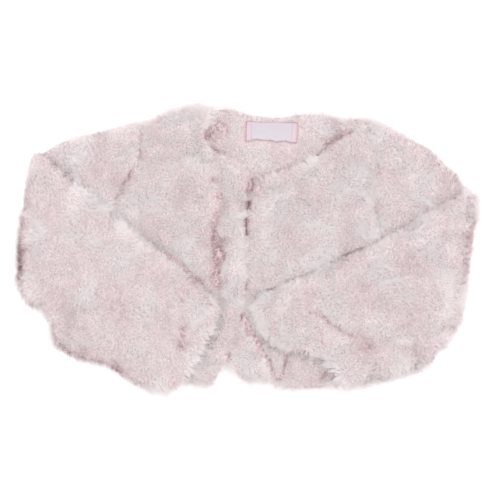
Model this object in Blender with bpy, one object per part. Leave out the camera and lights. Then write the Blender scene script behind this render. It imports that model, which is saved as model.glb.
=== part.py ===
"""Child's bolero in deep-pile knit, laid flat on its back with both sleeves folded over the fronts.

X runs to the viewer's right, Y towards the neck, Z up from the surface it lies on. Left and right
in the names are the wearer's, so the right front is on the -X side. Every table is in millimetres
in that plan; the outlines are those of the cloth, inside the reach of its pile.

The garment is a stack: back panel, then the fronts and the upper arms, then the forearms. Each
sleeve is one flattened tube that turns back on itself at the outer contour.
"""

import math

import bmesh
import bpy
import numpy as np
from mathutils import Vector
from mathutils.bvhtree import BVHTree

MM = 0.001

# ---- driving sizes, mm ----
WALL = 4.0  # knit base with the dense foot of its pile
GAP = 0.4  # between two layers of cloth
SEAM = 0.4  # between two pieces along a seam, in plan
LAYER_1 = WALL + GAP  # underside of the fronts
STACK_1 = 2 * WALL + GAP  # top of the fronts and of the upper arms
LAYER_2 = STACK_1 + GAP  # underside of the forearms
TUBE_HALF = STACK_1 / 2  # half of a flattened sleeve's height
FOLD_AXIS_Z = STACK_1 + GAP / 2  # height of the line each sleeve turns about
FOLD_REACH = FOLD_AXIS_Z  # from that line to the outer contour
SIDE_ROUND = 7.0  # how far in a tube's side or a seamed rim rounds off
FREE_ROUND = 5.0  # the same on a free edge
DROP_FROM, DROP_TO = 7.0, 33.0  # a forearm leaves its support and reaches the floor
PUFF_FRONT = 1.6  # loft of the fronts and upper arms
PUFF_FORE = 2.4  # loft of the forearms' top wall
FORE_OPEN = 0.9  # its least distance from the wall below, beyond the gap
LABEL_THICK = 0.8
LABEL_CLEAR = 0.5  # label off the back panel
CENTRE = (-2.01, -0.14)  # middle of the outline in the tables' plan

# Across a flattened tube, and down the armhole that it joins, as a share of the width.
ACROSS = (0, 0.012, 0.05, 0.13, 0.25, 0.38, 0.5, 0.62, 0.75, 0.87, 0.95, 0.988, 1)
DOWN_SIDE_SEAM = 6
DOWN_NECK = 6
DOWN_OPENING = len(ACROSS) - 1 + DOWN_SIDE_SEAM - DOWN_NECK
ACROSS_FRONT = (0, 0.03, 0.08, 0.15, 0.23, 0.31, 0.4, 0.5, 0.6, 0.7, 0.8, 0.89, 0.95, 1)
ACROSS_BACK = (0, 0.03, 0.08, 0.14, 0.2, 0.27, 0.34, 0.4, 0.46, 0.52, 0.58, 0.64, 0.7, 0.77, 0.84, 0.91, 0.96, 1)
UPPER_RINGS = (0, 0.06, 0.3, 0.6, 1)
FOLD_RINGS = (30, 60, 90, 120, 150)  # degrees of turn
FORE_RINGS = (0, 0.05, 0.12, 0.19, 0.26, 0.33, 0.4, 0.47, 0.54, 0.61, 0.68, 0.75, 0.82, 0.88, 0.94, 1)

# ---- edges of the cut pieces as they lie: columns x, y ----
RIGHT_SHOULDER = ((-32, 122), (-50, 122.5), (-69, 118), (-93, 109))
RIGHT_NECKLINE = ((-32, 122), (-38, 112), (-39, 100), (-35, 87), (-22, 81), (-8, 71), (3, 59))
RIGHT_OPENING = ((3, 59), (-0.6, 46), (-3.8, 26), (-3.6, 10), (-3.4, -18), (-6, -47), (-12, -70), (-17, -85), (-20, -96))
RIGHT_ARMHOLE = ((-93, 109), (-96, 82), (-106, 63), (-116, 43), (-126, 13), (-128, -7))
RIGHT_SIDE = ((-128, -7), (-130, -44), (-128, -74), (-124, -92))
RIGHT_HEM = ((-20, -96), (-27, -106), (-34.5, -117.5), (-47, -116.5), (-60, -113), (-90, -106), (-124, -92))

LEFT_SHOULDER = ((83, 111.5), (101, 112.5), (115, 107.5))
LEFT_NECKLINE = ((83, 111.5), (80, 101), (73, 93), (65, 83), (47, 73), (26, 66), (4.2, 58))
LEFT_OPENING = ((4.2, 58), (0.6, 46), (-2.6, 26), (-2.4, 10), (-2.2, -18), (-4.8, -47), (-10.8, -70), (-15.4, -85), (-17.6, -96.5))
LEFT_ARMHOLE = ((115, 107.5), (113, 82), (109, 60), (109, 37), (113, 6), (118, -25))
LEFT_SIDE = ((118, -25), (122, -61), (120, -95))
LEFT_HEM = ((-17.6, -96.5), (-11, -107.5), (-3, -113.8), (12, -113.5), (29, -119.5), (50, -119.5), (75, -118), (98, -110.5), (120, -95))

BACK_NECK = ((-32, 122), (-14, 121.5), (-1, 117.5), (25, 114.5), (45, 117.5), (65, 117), (83, 111.5))
BACK_HEM = ((-124, -92), (-95, -99), (-60, -100), (-19, -88), (26, -99), (70, -108), (120, -95))

# Each sleeve: its edges without the end that lies on the fold, and its outer contour at the fold.
RIGHT_SLEEVE = {
    "armhole": RIGHT_ARMHOLE,
    "outward": -1,
    "upper_top": ((-93, 109), (-118, 103.5), (-141, 97.5), (-163, 93)),
    "upper_low": ((-128, -7), (-157, -27)),
    "contour": ((-188, 83), (-193, 48), (-197.5, 16), (-198.5, -10), (-197, -30), (-190, -48)),
    "fore_top": ((-154, 57), (-124, 31.5), (-93, 8), (-74, -7.5), (-52, -26), (-38, -38), (-29, -50)),
    "fore_low": ((-171, -59.5), (-168.5, -71.5), (-165.5, -82), (-153, -91), (-134, -95.5), (-120, -101), (-103, -112), (-86, -120), (-74, -123)),
    "cuff": ((-29, -50), (-31, -60), (-36, -71.5), (-45, -88), (-53, -103), (-62, -116), (-74, -123)),
}
LEFT_SLEEVE = {
    "armhole": LEFT_ARMHOLE,
    "outward": 1,
    "upper_top": ((115, 107.5), (136.5, 96.5), (154.5, 84.5), (172.5, 68.5)),
    "upper_low": ((118, -25), (143, -51)),
    "contour": ((195.5, 48), (190.5, 17), (187.5, -7), (183.5, -35), (179, -63), (171, -85)),
    "fore_top": ((154, 29), (109.5, 3.2), (85, -7), (52, -23.5), (35, -30.5), (19.5, -37), (3, -47)),
    "fore_low": ((155.5, -93.5), (144.5, -102.5), (128, -109), (117, -111), (96, -115), (83, -118.5)),
    "cuff": ((3, -47), (8, -58), (12, -69), (20, -78.5), (34, -83.5), (50, -87), (64, -91), (72, -98), (77, -108), (83, -118.5)),
}

# ---- largest folds: a line in plan, how far it sinks or stands, and its half width ----
ARMHOLE_TROUGH = (1.3, 5.0)
FRONT_BAND = {"at": 9.0, "rise": 4.2, "half": 7.5}  # raised band along the right front's edge
FRONT_VALLEY = {"at": 26.0, "from": 24.0, "to": 48.0}
LEFT_LIP = {"at": 8.0, "rise": 2.2, "half": 7.0}
SHOULDER_CREASE = (((73, 93), (87, 102), (100, 105), (112, 106)), 1.4, 4.5)
HEM_VALLEYS = (
    (((-8, -51), (-3, -65), (7, -80), (14, -97), (13, -112)), 5.5),
    (((31, -88), (29, -102), (26, -118)), 4.5),
    (((66, -98), (64, -112)), 4.5),
)
HEM_RISE = 3.2
NECK_BUMPS = ((8, 104, 10, 0.8), (55, 105, 8, 2.4), (70, 106, 7, 2.0), (-14, 110, 9, 1.6))  # x, y, radius, rise
NECK_ROLL = (2.4, 8.0)
FORE_TROUGHS = (
    (((-55, -40), (-57, -62), (-59, -84)), 2.0, 8.0),
    (((-171, -70), (-155, -82), (-135, -95), (-122, -101)), 2.0, 5.0),
    (((53, -54), (73, -66), (88, -73), (99, -85)), 2.2, 7.0),
    (((150, 8), (120, -20), (96, -40)), 1.0, 12.0),
    (((-150, 20), (-120, -10), (-98, -45)), 1.0, 12.0),
)

# ---- neck label: where its middle is, its size and its tilt ----
LABEL_AT, LABEL_SIZE, LABEL_TILT = (18.8, 102.5), (44.5, 17.5), -2.0

PINK = (0.72, 0.57, 0.57, 1)
LABEL_COLOUR = (0.83, 0.76, 0.80, 1)


# ---- curves and distances in plan ----


def smooth_line(rows, shares):
    """Points of a curve through the rows, at these shares of its length."""
    p = np.array(rows, float)
    p = np.vstack([2 * p[0] - p[1], p, 2 * p[-1] - p[-2]])
    t = np.linspace(0, 1, 24, endpoint=False)[:, None]
    fine = []
    for a, b, c, d in zip(p, p[1:], p[2:], p[3:]):
        fine.append(0.5 * (2 * b + (c - a) * t + (2 * a - 5 * b + 4 * c - d) * t**2 + (3 * b - a - 3 * c + d) * t**3))
    fine = np.vstack([*fine, p[-2:-1]])
    along = np.r_[0, np.cumsum(np.hypot(*np.diff(fine, axis=0).T))]
    at = np.asarray(shares, float) * along[-1]
    return np.stack([np.interp(at, along, fine[:, k]) for k in (0, 1)], 1)


def even(n):
    return np.linspace(0, 1, n + 1)


def joined(*lines):
    return np.vstack([lines[0], *(line[1:] for line in lines[1:])])


def distance(p, line):
    """From each point to the nearest point of a polyline."""
    p, line = np.asarray(p, float), np.asarray(line, float)
    a, d = line[:-1], np.diff(line, axis=0)
    v = p[..., None, :] - a
    t = np.clip((v * d).sum(-1) / np.maximum((d * d).sum(-1), 1e-9), 0, 1)
    return np.sqrt((((v - t[..., None] * d) ** 2).sum(-1)).min(-1))


def beyond(p, outline):
    """Distance outside a closed outline, negative inside it."""
    p = np.asarray(p, float)
    ring = np.vstack([outline, outline[:1]])
    a, b = ring[:-1], ring[1:]
    x, y = p[..., None, 0], p[..., None, 1]
    rise = np.where(b[:, 1] == a[:, 1], 1e-12, b[:, 1] - a[:, 1])
    crossed = ((a[:, 1] > y) != (b[:, 1] > y)) & (x < (b[:, 0] - a[:, 0]) * (y - a[:, 1]) / rise + a[:, 0])
    inside = crossed.sum(-1) % 2 == 1
    d = distance(p, ring)
    return np.where(inside, -d, d)


def ramp(x, low, high):
    t = np.clip((np.asarray(x, float) - low) / (high - low), 0, 1)
    return t * t * (3 - 2 * t)


def rounding(e, reach):
    """0 at an edge and 1 from reach inwards, as a quarter of an ellipse."""
    t = np.clip(np.asarray(e, float) / reach, 0, 1)
    return np.sqrt(1 - (1 - t) ** 2)


def bell(x, half):
    return np.exp(-((np.asarray(x, float) / half) ** 2))


def coons(first, last, start, end):
    """Patch between four edges: first and last run across, start and end run down."""
    u = np.r_[0, np.cumsum(np.hypot(*np.diff(first, axis=0).T))]
    u2 = np.r_[0, np.cumsum(np.hypot(*np.diff(last, axis=0).T))]
    w = np.r_[0, np.cumsum(np.hypot(*np.diff(start, axis=0).T))]
    w2 = np.r_[0, np.cumsum(np.hypot(*np.diff(end, axis=0).T))]
    u = ((u / u[-1] + u2 / u2[-1]) / 2)[None, :, None]
    w = ((w / w[-1] + w2 / w2[-1]) / 2)[:, None, None]
    ruled = (1 - w) * first[None] + w * last[None] + (1 - u) * start[:, None] + u * end[:, None]
    corners = (1 - w) * ((1 - u) * first[0] + u * first[-1]) + w * ((1 - u) * last[0] + u * last[-1])
    return ruled - corners


# ---- outlines of the pieces in plan ----

FINE = even(40)
right_side_line = joined(smooth_line(RIGHT_ARMHOLE, ACROSS), smooth_line(RIGHT_SIDE, even(DOWN_SIDE_SEAM)))
left_side_line = joined(smooth_line(LEFT_ARMHOLE, ACROSS), smooth_line(LEFT_SIDE, even(DOWN_SIDE_SEAM)))
right_centre_line = joined(smooth_line(RIGHT_NECKLINE, even(DOWN_NECK)), smooth_line(RIGHT_OPENING, even(DOWN_OPENING)))
left_centre_line = joined(smooth_line(LEFT_NECKLINE, even(DOWN_NECK)), smooth_line(LEFT_OPENING, even(DOWN_OPENING)))
right_opening, left_opening = smooth_line(RIGHT_OPENING, FINE), smooth_line(LEFT_OPENING, FINE)
seamed_rims = [smooth_line(rows, FINE) for rows in (RIGHT_SHOULDER, RIGHT_SIDE, LEFT_SHOULDER, LEFT_SIDE)]
armholes = [smooth_line(RIGHT_ARMHOLE, FINE), smooth_line(LEFT_ARMHOLE, FINE)]
back_neck = smooth_line(BACK_NECK, FINE)


def outline(*edges):
    return joined(*[smooth_line(rows, FINE) for rows in edges])


def turned(rows):
    return tuple(reversed(rows))


right_front_outline = outline(RIGHT_SHOULDER, RIGHT_ARMHOLE, RIGHT_SIDE, turned(RIGHT_HEM), turned(RIGHT_OPENING), turned(RIGHT_NECKLINE))
left_front_outline = outline(LEFT_SHOULDER, LEFT_ARMHOLE, LEFT_SIDE, turned(LEFT_HEM), turned(LEFT_OPENING), turned(LEFT_NECKLINE))


def fold_line(sleeve, shares):
    """(outer contour, line that the sleeve turns about, unit vectors from the second to the first)."""
    contour = smooth_line(sleeve["contour"], shares)
    fine = smooth_line(sleeve["contour"], even(60))
    along = np.gradient(fine, axis=0)
    at = [np.argmin(((fine - c) ** 2).sum(1)) for c in contour]
    out = np.stack([-along[at, 1], along[at, 0]], 1)
    out /= np.hypot(*out.T)[:, None]
    out *= np.sign(out[:, :1] * sleeve["outward"])
    return contour, contour - FOLD_REACH * out, out


for sleeve in (RIGHT_SLEEVE, LEFT_SLEEVE):
    _, axis_line, _ = fold_line(sleeve, FINE)
    ends = (tuple(axis_line[0]), tuple(axis_line[-1]))
    sleeve["upper_outline"] = joined(
        smooth_line(sleeve["armhole"], FINE), smooth_line(sleeve["upper_low"] + ends[1:], FINE), axis_line[::-1],
        smooth_line(ends[:1] + turned(sleeve["upper_top"]), FINE),
    )
    sleeve["fore_outline"] = joined(
        axis_line, smooth_line(ends[1:] + sleeve["fore_low"], FINE), smooth_line(turned(sleeve["cuff"]), FINE),
        smooth_line(turned(sleeve["fore_top"]) + ends[:1], FINE),
    )


# ---- heights ----


def under_forearm(p):
    """0 beneath a forearm and 1 well clear of both."""
    clear = np.minimum(beyond(p, RIGHT_SLEEVE["fore_outline"]), beyond(p, LEFT_SLEEVE["fore_outline"]))
    return ramp(clear, 5, 17)


def relief(p):
    """How far the fronts and the upper arms stand above their lowest level."""
    p = np.asarray(p, float)
    x, y = p[..., 0], p[..., 1]
    right_of_body = beyond(p, right_front_outline) < 1
    d_right, d_left = distance(p, right_opening), distance(p, left_opening)
    open_part = ramp(y, -62, -40) * ramp(-y, -66, -50)
    band = FRONT_BAND["rise"] * bell(d_right - FRONT_BAND["at"], FRONT_BAND["half"]) * ramp(-y, -66, -50)
    on_right = band + PUFF_FRONT * ramp(d_right, FRONT_VALLEY["from"], FRONT_VALLEY["to"])
    lip = LEFT_LIP["rise"] * bell(d_left - LEFT_LIP["at"], LEFT_LIP["half"]) * open_part
    on_left = lip + PUFF_FRONT * ramp(d_left, 14, 36)
    rise = np.where(right_of_body | (x < -93), on_right, on_left)
    valleys = 1.0
    for rows, half in HEM_VALLEYS:
        valleys = valleys * (1 - bell(distance(p, smooth_line(rows, even(16))), half))
    at_hem = ramp(-y, 58, 84) * ramp(x, -60, -30) * ramp(-x, -80, -60)
    rise = rise * (1 - at_hem) + HEM_RISE * valleys * at_hem
    for line in armholes:
        rise = rise - ARMHOLE_TROUGH[0] * bell(distance(p, line), ARMHOLE_TROUGH[1])
    rows, depth, half = SHOULDER_CREASE
    rise = rise - depth * bell(distance(p, smooth_line(rows, even(16))), half)
    neck = np.minimum(distance(p, smooth_line(RIGHT_NECKLINE, FINE)), distance(p, smooth_line(LEFT_NECKLINE, FINE)))
    rise = rise + 1.6 * bell(neck - 4, 6)
    return np.maximum(rise, 0) * under_forearm(p)


def neck_relief(p):
    """How far the back panel stands above its flat level, inside the neck only."""
    p = np.asarray(p, float)
    x, y = p[..., 0], p[..., 1]
    rise = sum(h * bell(np.hypot(x - a, y - b), r) for a, b, r, h in NECK_BUMPS)
    rise = rise + NECK_ROLL[0] * bell(distance(p, back_neck), NECK_ROLL[1])
    clear = np.minimum(beyond(p, right_front_outline), beyond(p, left_front_outline))
    return rise * ramp(clear, 9, 20)


def seamed(p):
    return rounding(np.min([distance(p, line) for line in seamed_rims], axis=0), SIDE_ROUND)


def free_edge(p, *edges):
    return rounding(np.min([distance(p, smooth_line(rows, FINE)) for rows in edges], axis=0), FREE_ROUND)


def back_levels(p):
    top = WALL + neck_relief(p) - 1.2 * (1 - free_edge(p, BACK_NECK, BACK_HEM))
    return 2.4 * (1 - seamed(p)), top


def front_levels(p, free):
    low = LAYER_1 + relief(p)
    top = low + WALL * (0.4 + 0.6 * seamed(p)) - 1.4 * (1 - free_edge(p, *free)) * seamed(p)
    return low, top


def forearm_base(p, body_outline, sleeve):
    """Underside of a forearm: on the layers below it, and down on the floor past their edges."""
    off = np.minimum(beyond(p, body_outline), beyond(p, sleeve["upper_outline"]))
    return LAYER_2 * (1 - ramp(off, DROP_FROM, DROP_TO))


def forearm_loft(p, v, s):
    rise = PUFF_FORE * np.sin(math.pi * v) ** 0.8
    for rows, depth, half in FORE_TROUGHS:
        rise = rise - depth * bell(distance(p, smooth_line(rows, even(16))), half)
    return (FORE_OPEN + np.maximum(rise, 0)) * ramp(s, 0, 0.1)


# ---- solids ----


def as_object(name, bm, colour, roughness):
    bmesh.ops.recalc_face_normals(bm, faces=bm.faces)
    mesh = bpy.data.meshes.new(name)
    bm.to_mesh(mesh)
    bm.free()
    mesh.shade_smooth()
    mesh.set_sharp_from_angle(angle=math.radians(50))
    material = bpy.data.materials.new(name + "_cloth")
    material.use_nodes = True
    shader = material.node_tree.nodes["Principled BSDF"]
    shader.inputs["Base Color"].default_value = colour
    shader.inputs["Roughness"].default_value = roughness
    shader.inputs["Metallic"].default_value = 0.0
    mesh.materials.append(material)
    obj = bpy.data.objects.new(name, mesh)
    parts.objects.link(obj)
    return obj


def skin(name, first, second, closed_across, colour=PINK, roughness=0.95):
    """Solid between two grids of points, made by extruding a grid. A grid closed across is a tube."""
    down, across = first.shape[0] - 1, first.shape[1] - 1 + closed_across
    bm = bmesh.new()
    bmesh.ops.create_grid(bm, x_segments=across, y_segments=down, size=1)
    col, row = bm.verts.layers.int.new("col"), bm.verts.layers.int.new("row")
    for vert in bm.verts:
        i, j = round((vert.co.x + 1) / 2 * across), round((vert.co.y + 1) / 2 * down)
        vert[col], vert[row] = i % across if closed_across else i, j
        vert.co = first[j, vert[col]] * MM
    if closed_across:
        bmesh.ops.remove_doubles(bm, verts=bm.verts, dist=1e-7)
    grown = bmesh.ops.extrude_face_region(bm, geom=list(bm.faces), use_keep_orig=True)
    for vert in (v for v in grown["geom"] if isinstance(v, bmesh.types.BMVert)):
        vert.co = second[vert[row], vert[col]] * MM
    return as_object(name, bm, colour, roughness)


def lifted(plan, z):
    centred = plan - np.array(CENTRE)
    return np.dstack([centred, z])


def panel(name, plan, levels, **more):
    low, top = levels
    return skin(name, lifted(plan, low), lifted(plan, top), False, **more)


def resample(rows, n, start=None, end=None, shares=None):
    rows = ((tuple(start),) if start is not None else ()) + tuple(rows) + ((tuple(end),) if end is not None else ())
    return smooth_line(rows, even(n) if shares is None else shares)


def sleeve_tube(name, sleeve, body_outline):
    """Rings of a flattened tube: from the armhole out along the floor, round the fold and back."""
    shift = np.array([SEAM * sleeve["outward"], 0])

    def across_grid(shares):
        _, axis, out = fold_line(sleeve, shares)
        _, axis_ends, _ = fold_line(sleeve, (0, 1))
        armhole = smooth_line(sleeve["armhole"], shares) + shift
        upper = coons(
            armhole, axis,
            resample((armhole[0],) + sleeve["upper_top"][1:], 0, end=axis[0], shares=UPPER_RINGS),
            resample((armhole[-1],) + sleeve["upper_low"][1:], 0, end=axis[-1], shares=UPPER_RINGS),
        )
        fore = coons(
            axis, smooth_line(sleeve["cuff"], shares),
            resample(sleeve["fore_top"], 0, start=axis[0], shares=FORE_RINGS),
            resample(sleeve["fore_low"], 0, start=axis[-1], shares=FORE_RINGS),
        )
        return upper, axis, out, fore

    # The patches are made once, with the outer wall's spacing; the inner wall reads them between.
    upper, axis, out, fore = across_grid(ACROSS)

    def between(row, shares):
        return np.stack([np.interp(shares, ACROSS, row[:, k]) for k in (0, 1)], 1)

    rings_out, rings_in = [], []

    def ring(plan, place):
        """Adds a ring. place(points, share, height) gives 3D points at a height off the tube's middle."""
        width = np.hypot(*np.diff(plan, axis=0).T).sum()
        shares = np.array(ACROSS)
        reach = np.minimum(shares, 1 - shares) * width
        margin = WALL / width
        inner = margin + shares * (1 - 2 * margin)
        reach_in = (np.minimum(inner, 1 - inner) - margin) * width
        for rings, v, height in (
            (rings_out, shares, TUBE_HALF * rounding(reach, SIDE_ROUND)),
            (rings_in, inner, GAP / 2 * rounding(reach_in, 3)),
        ):
            at = between(plan, v)
            outer_wall = place(at, v, height, 1, rings is rings_in)
            inner_wall = place(at, v, height, -1, rings is rings_in)
            rings.append(np.vstack([outer_wall, inner_wall[-2:0:-1]]))

    def on_floor(at, v, height, side, inside):
        # Lower wall (side 1) on the floor, upper wall lifted with the fronts.
        z = TUBE_HALF - side * height
        if side < 0:
            z = z + relief(at) * rounding(np.minimum(v, 1 - v), 0.1)
        return np.column_stack([at - np.array(CENTRE), z])

    for row in upper:
        ring(row, on_floor)

    for degrees in FOLD_RINGS:
        turn = math.radians(degrees)

        def around(at, v, height, side, inside, turn=turn):
            o = np.stack([np.interp(v, ACROSS, out[:, k]) for k in (0, 1)], 1)
            rho = (FOLD_AXIS_Z - TUBE_HALF + side * height)[:, None]
            flat = at + rho * math.sin(turn) * o
            return np.column_stack([flat - np.array(CENTRE), FOLD_AXIS_Z - rho[:, 0] * math.cos(turn)])

        ring(axis, around)

    for share, row in zip(FORE_RINGS, fore):

        def on_top(at, v, height, side, inside, share=share):
            z = forearm_base(at, body_outline, sleeve) + TUBE_HALF + side * height
            if side > 0:
                z = z + forearm_loft(at, v, share) * rounding(np.minimum(v, 1 - v), 0.1)
            return np.column_stack([at - np.array(CENTRE), z])

        ring(row, on_top)

    return skin(name, np.array(rings_out), np.array(rings_in), True)


for old in list(bpy.data.objects):
    bpy.data.objects.remove(old, do_unlink=True)
parts = bpy.data.collections.new("bolero")
bpy.context.scene.collection.children.link(parts)

back_plan = coons(
    joined(
        smooth_line(turned(RIGHT_SHOULDER), even(4)),
        smooth_line(BACK_NECK, even(9)),
        smooth_line(LEFT_SHOULDER, even(4)),
    ),
    smooth_line(BACK_HEM, even(17)),
    right_side_line,
    left_side_line,
)
back = panel("back", back_plan, back_levels(back_plan))

right_plan = coons(
    smooth_line(RIGHT_SHOULDER, ACROSS_FRONT), smooth_line(RIGHT_HEM, ACROSS_FRONT), right_centre_line, right_side_line
)
panel("front_right", right_plan, front_levels(right_plan, (RIGHT_NECKLINE, RIGHT_OPENING, RIGHT_HEM)))

left_plan = coons(
    smooth_line(LEFT_SHOULDER, ACROSS_FRONT), smooth_line(LEFT_HEM, ACROSS_FRONT), left_centre_line, left_side_line
)
panel("front_left", left_plan, front_levels(left_plan, (LEFT_NECKLINE, LEFT_OPENING, LEFT_HEM)))

sleeve_tube("sleeve_right", RIGHT_SLEEVE, right_front_outline)
sleeve_tube("sleeve_left", LEFT_SLEEVE, left_front_outline)

tilt = math.radians(LABEL_TILT)
grid_x, grid_y = np.meshgrid(np.linspace(-0.5, 0.5, 9) * LABEL_SIZE[0], np.linspace(-0.5, 0.5, 4) * LABEL_SIZE[1])
label_plan = np.dstack([
    LABEL_AT[0] + grid_x * math.cos(tilt) - grid_y * math.sin(tilt),
    LABEL_AT[1] + grid_x * math.sin(tilt) + grid_y * math.cos(tilt),
])
# The label follows the back panel: each of its points is dropped on that panel and moved out.
back_surface = BVHTree.FromPolygons([v.co for v in back.data.vertices], [tuple(f.vertices) for f in back.data.polygons])


def on_back(point):
    x, y = (point - np.array(CENTRE)) * MM
    return back_surface.ray_cast(Vector((x, y, 1)), Vector((0, 0, -1)))[0].z / MM


label_low = np.array([[on_back(point) for point in row] for row in label_plan]) + LABEL_CLEAR
panel("neck_label", label_plan, (label_low, label_low + LABEL_THICK), colour=LABEL_COLOUR, roughness=0.6)
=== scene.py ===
"""Child's bolero in deep-pile knit, laid flat on its back with both sleeves folded over the fronts.

The cloth is a set of thin shells on the same forms as the solids they stand for, with finer rings and
more creases. The pile is made of narrow tapered blades that stand in locks on the shells. Lengths are
in millimetres in the plan of the tables: X to the viewer's right, Y towards the neck, Z up. Left and
right in the names are the wearer's.
"""

import math

import bpy
import numpy as np
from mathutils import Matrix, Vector
from mathutils.bvhtree import BVHTree
from mathutils.kdtree import KDTree


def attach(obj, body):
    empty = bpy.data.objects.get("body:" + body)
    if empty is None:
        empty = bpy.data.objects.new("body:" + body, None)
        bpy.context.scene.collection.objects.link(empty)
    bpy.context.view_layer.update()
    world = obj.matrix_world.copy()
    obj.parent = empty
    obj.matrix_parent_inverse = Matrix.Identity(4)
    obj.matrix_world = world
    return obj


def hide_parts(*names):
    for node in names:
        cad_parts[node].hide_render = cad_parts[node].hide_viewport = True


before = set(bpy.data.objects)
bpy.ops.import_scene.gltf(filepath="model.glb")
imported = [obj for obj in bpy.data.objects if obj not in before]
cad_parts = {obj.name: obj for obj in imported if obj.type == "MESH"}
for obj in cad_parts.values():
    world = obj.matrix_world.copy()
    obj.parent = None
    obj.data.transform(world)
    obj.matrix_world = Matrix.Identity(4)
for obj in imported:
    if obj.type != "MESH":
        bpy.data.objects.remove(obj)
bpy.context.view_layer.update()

MM = 0.001

# ---- driving sizes, as in the solids, mm ----
WALL = 4.0
GAP = 0.4
SEAM = 0.4
LAYER_1 = WALL + GAP
STACK_1 = 2 * WALL + GAP
LAYER_2 = STACK_1 + GAP
TUBE_HALF = STACK_1 / 2
FOLD_AXIS_Z = STACK_1 + GAP / 2
FOLD_REACH = FOLD_AXIS_Z
SIDE_ROUND = 7.0
FREE_ROUND = 5.0
DROP_FROM, DROP_TO = 7.0, 33.0
PUFF_FRONT = 1.6
PUFF_FORE = 2.4
FORE_OPEN = 0.9
EDGE_RISE = 1.4
CUFF_SETTLES = 4.4, 13.0
CENTRE = np.array((-2.01, -0.14))

# ---- finer spacing across and along the pieces, as shares ----
RIM = (0, 0.004, 0.01, 0.02, 0.034, 0.05, 0.07, 0.095)
ACROSS = RIM + tuple(np.linspace(0.125, 0.875, 22)) + tuple(1 - s for s in reversed(RIM))
UPPER_RINGS = tuple(np.linspace(0, 1, 19))
FOLD_RINGS = tuple(range(12, 180, 12))
FORE_RINGS = tuple(np.linspace(0, 0.94, 48)) + (0.955, 0.97, 0.98, 0.99, 1)
FINE_PANEL = (0, 0.006, 0.015, 0.03, 0.05) + tuple(np.linspace(0.075, 0.925, 34)) + (0.95, 0.97, 0.985, 0.994, 1)

# ---- edges of the cut pieces as they lie: columns x, y ----
RIGHT_SHOULDER = ((-32, 122), (-50, 122.5), (-69, 118), (-93, 109))
RIGHT_NECKLINE = ((-32, 122), (-38, 112), (-39, 100), (-35, 87), (-22, 81), (-8, 71), (3, 59))
RIGHT_OPENING = ((3, 59), (-0.6, 46), (-3.8, 26), (-3.6, 10), (-3.4, -18), (-6, -47), (-12, -70), (-17, -85), (-20, -96))
RIGHT_ARMHOLE = ((-93, 109), (-96, 82), (-106, 63), (-116, 43), (-126, 13), (-128, -7))
RIGHT_SIDE = ((-128, -7), (-130, -44), (-128, -74), (-124, -92))
RIGHT_HEM = ((-20, -96), (-27, -106), (-34.5, -117.5), (-47, -116.5), (-60, -113), (-90, -106), (-124, -92))

LEFT_SHOULDER = ((83, 111.5), (101, 112.5), (115, 107.5))
LEFT_NECKLINE = ((83, 111.5), (80, 101), (73, 93), (65, 83), (47, 73), (26, 66), (4.2, 58))
LEFT_OPENING = ((4.2, 58), (0.6, 46), (-2.6, 26), (-2.4, 10), (-2.2, -18), (-4.8, -47), (-10.8, -70), (-15.4, -85), (-17.6, -96.5))
LEFT_ARMHOLE = ((115, 107.5), (113, 82), (109, 60), (109, 37), (113, 6), (118, -25))
LEFT_SIDE = ((118, -25), (122, -61), (120, -95))
LEFT_HEM = ((-17.6, -96.5), (-11, -107.5), (-3, -113.8), (12, -113.5), (29, -119.5), (50, -119.5), (75, -118), (98, -110.5), (120, -95))

BACK_NECK = ((-32, 122), (-14, 121.5), (-1, 117.5), (25, 114.5), (45, 117.5), (65, 117), (83, 111.5))
BACK_HEM = ((-124, -92), (-95, -99), (-60, -100), (-19, -88), (26, -99), (70, -108), (120, -95))

RIGHT_SLEEVE = {
    "armhole": RIGHT_ARMHOLE,
    "outward": -1,
    "upper_top": ((-93, 109), (-118, 103.5), (-141, 97.5), (-163, 93)),
    "upper_low": ((-128, -7), (-157, -27)),
    "contour": ((-188, 83), (-193, 48), (-197.5, 16), (-198.5, -10), (-197, -30), (-190, -48)),
    "fore_top": ((-154, 57), (-124, 31.5), (-93, 8), (-74, -7.5), (-52, -26), (-38, -38), (-29, -50)),
    "fore_low": ((-171, -59.5), (-168.5, -71.5), (-165.5, -82), (-153, -91), (-134, -95.5), (-120, -101), (-103, -112), (-86, -120), (-74, -123)),
    "cuff": ((-29, -50), (-31, -60), (-36, -71.5), (-45, -88), (-53, -103), (-62, -116), (-74, -123)),
}
LEFT_SLEEVE = {
    "armhole": LEFT_ARMHOLE,
    "outward": 1,
    "upper_top": ((115, 107.5), (136.5, 96.5), (154.5, 84.5), (172.5, 68.5)),
    "upper_low": ((118, -25), (143, -51)),
    "contour": ((195.5, 48), (190.5, 17), (187.5, -7), (183.5, -35), (179, -63), (171, -85)),
    "fore_top": ((154, 29), (109.5, 3.2), (85, -7), (52, -23.5), (35, -30.5), (19.5, -37), (3, -47)),
    "fore_low": ((155.5, -93.5), (144.5, -102.5), (128, -109), (117, -111), (96, -115), (83, -118.5)),
    "cuff": ((3, -47), (8, -58), (12, -69), (20, -78.5), (34, -83.5), (50, -87), (64, -91), (72, -98), (77, -108), (83, -118.5)),
}

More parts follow.
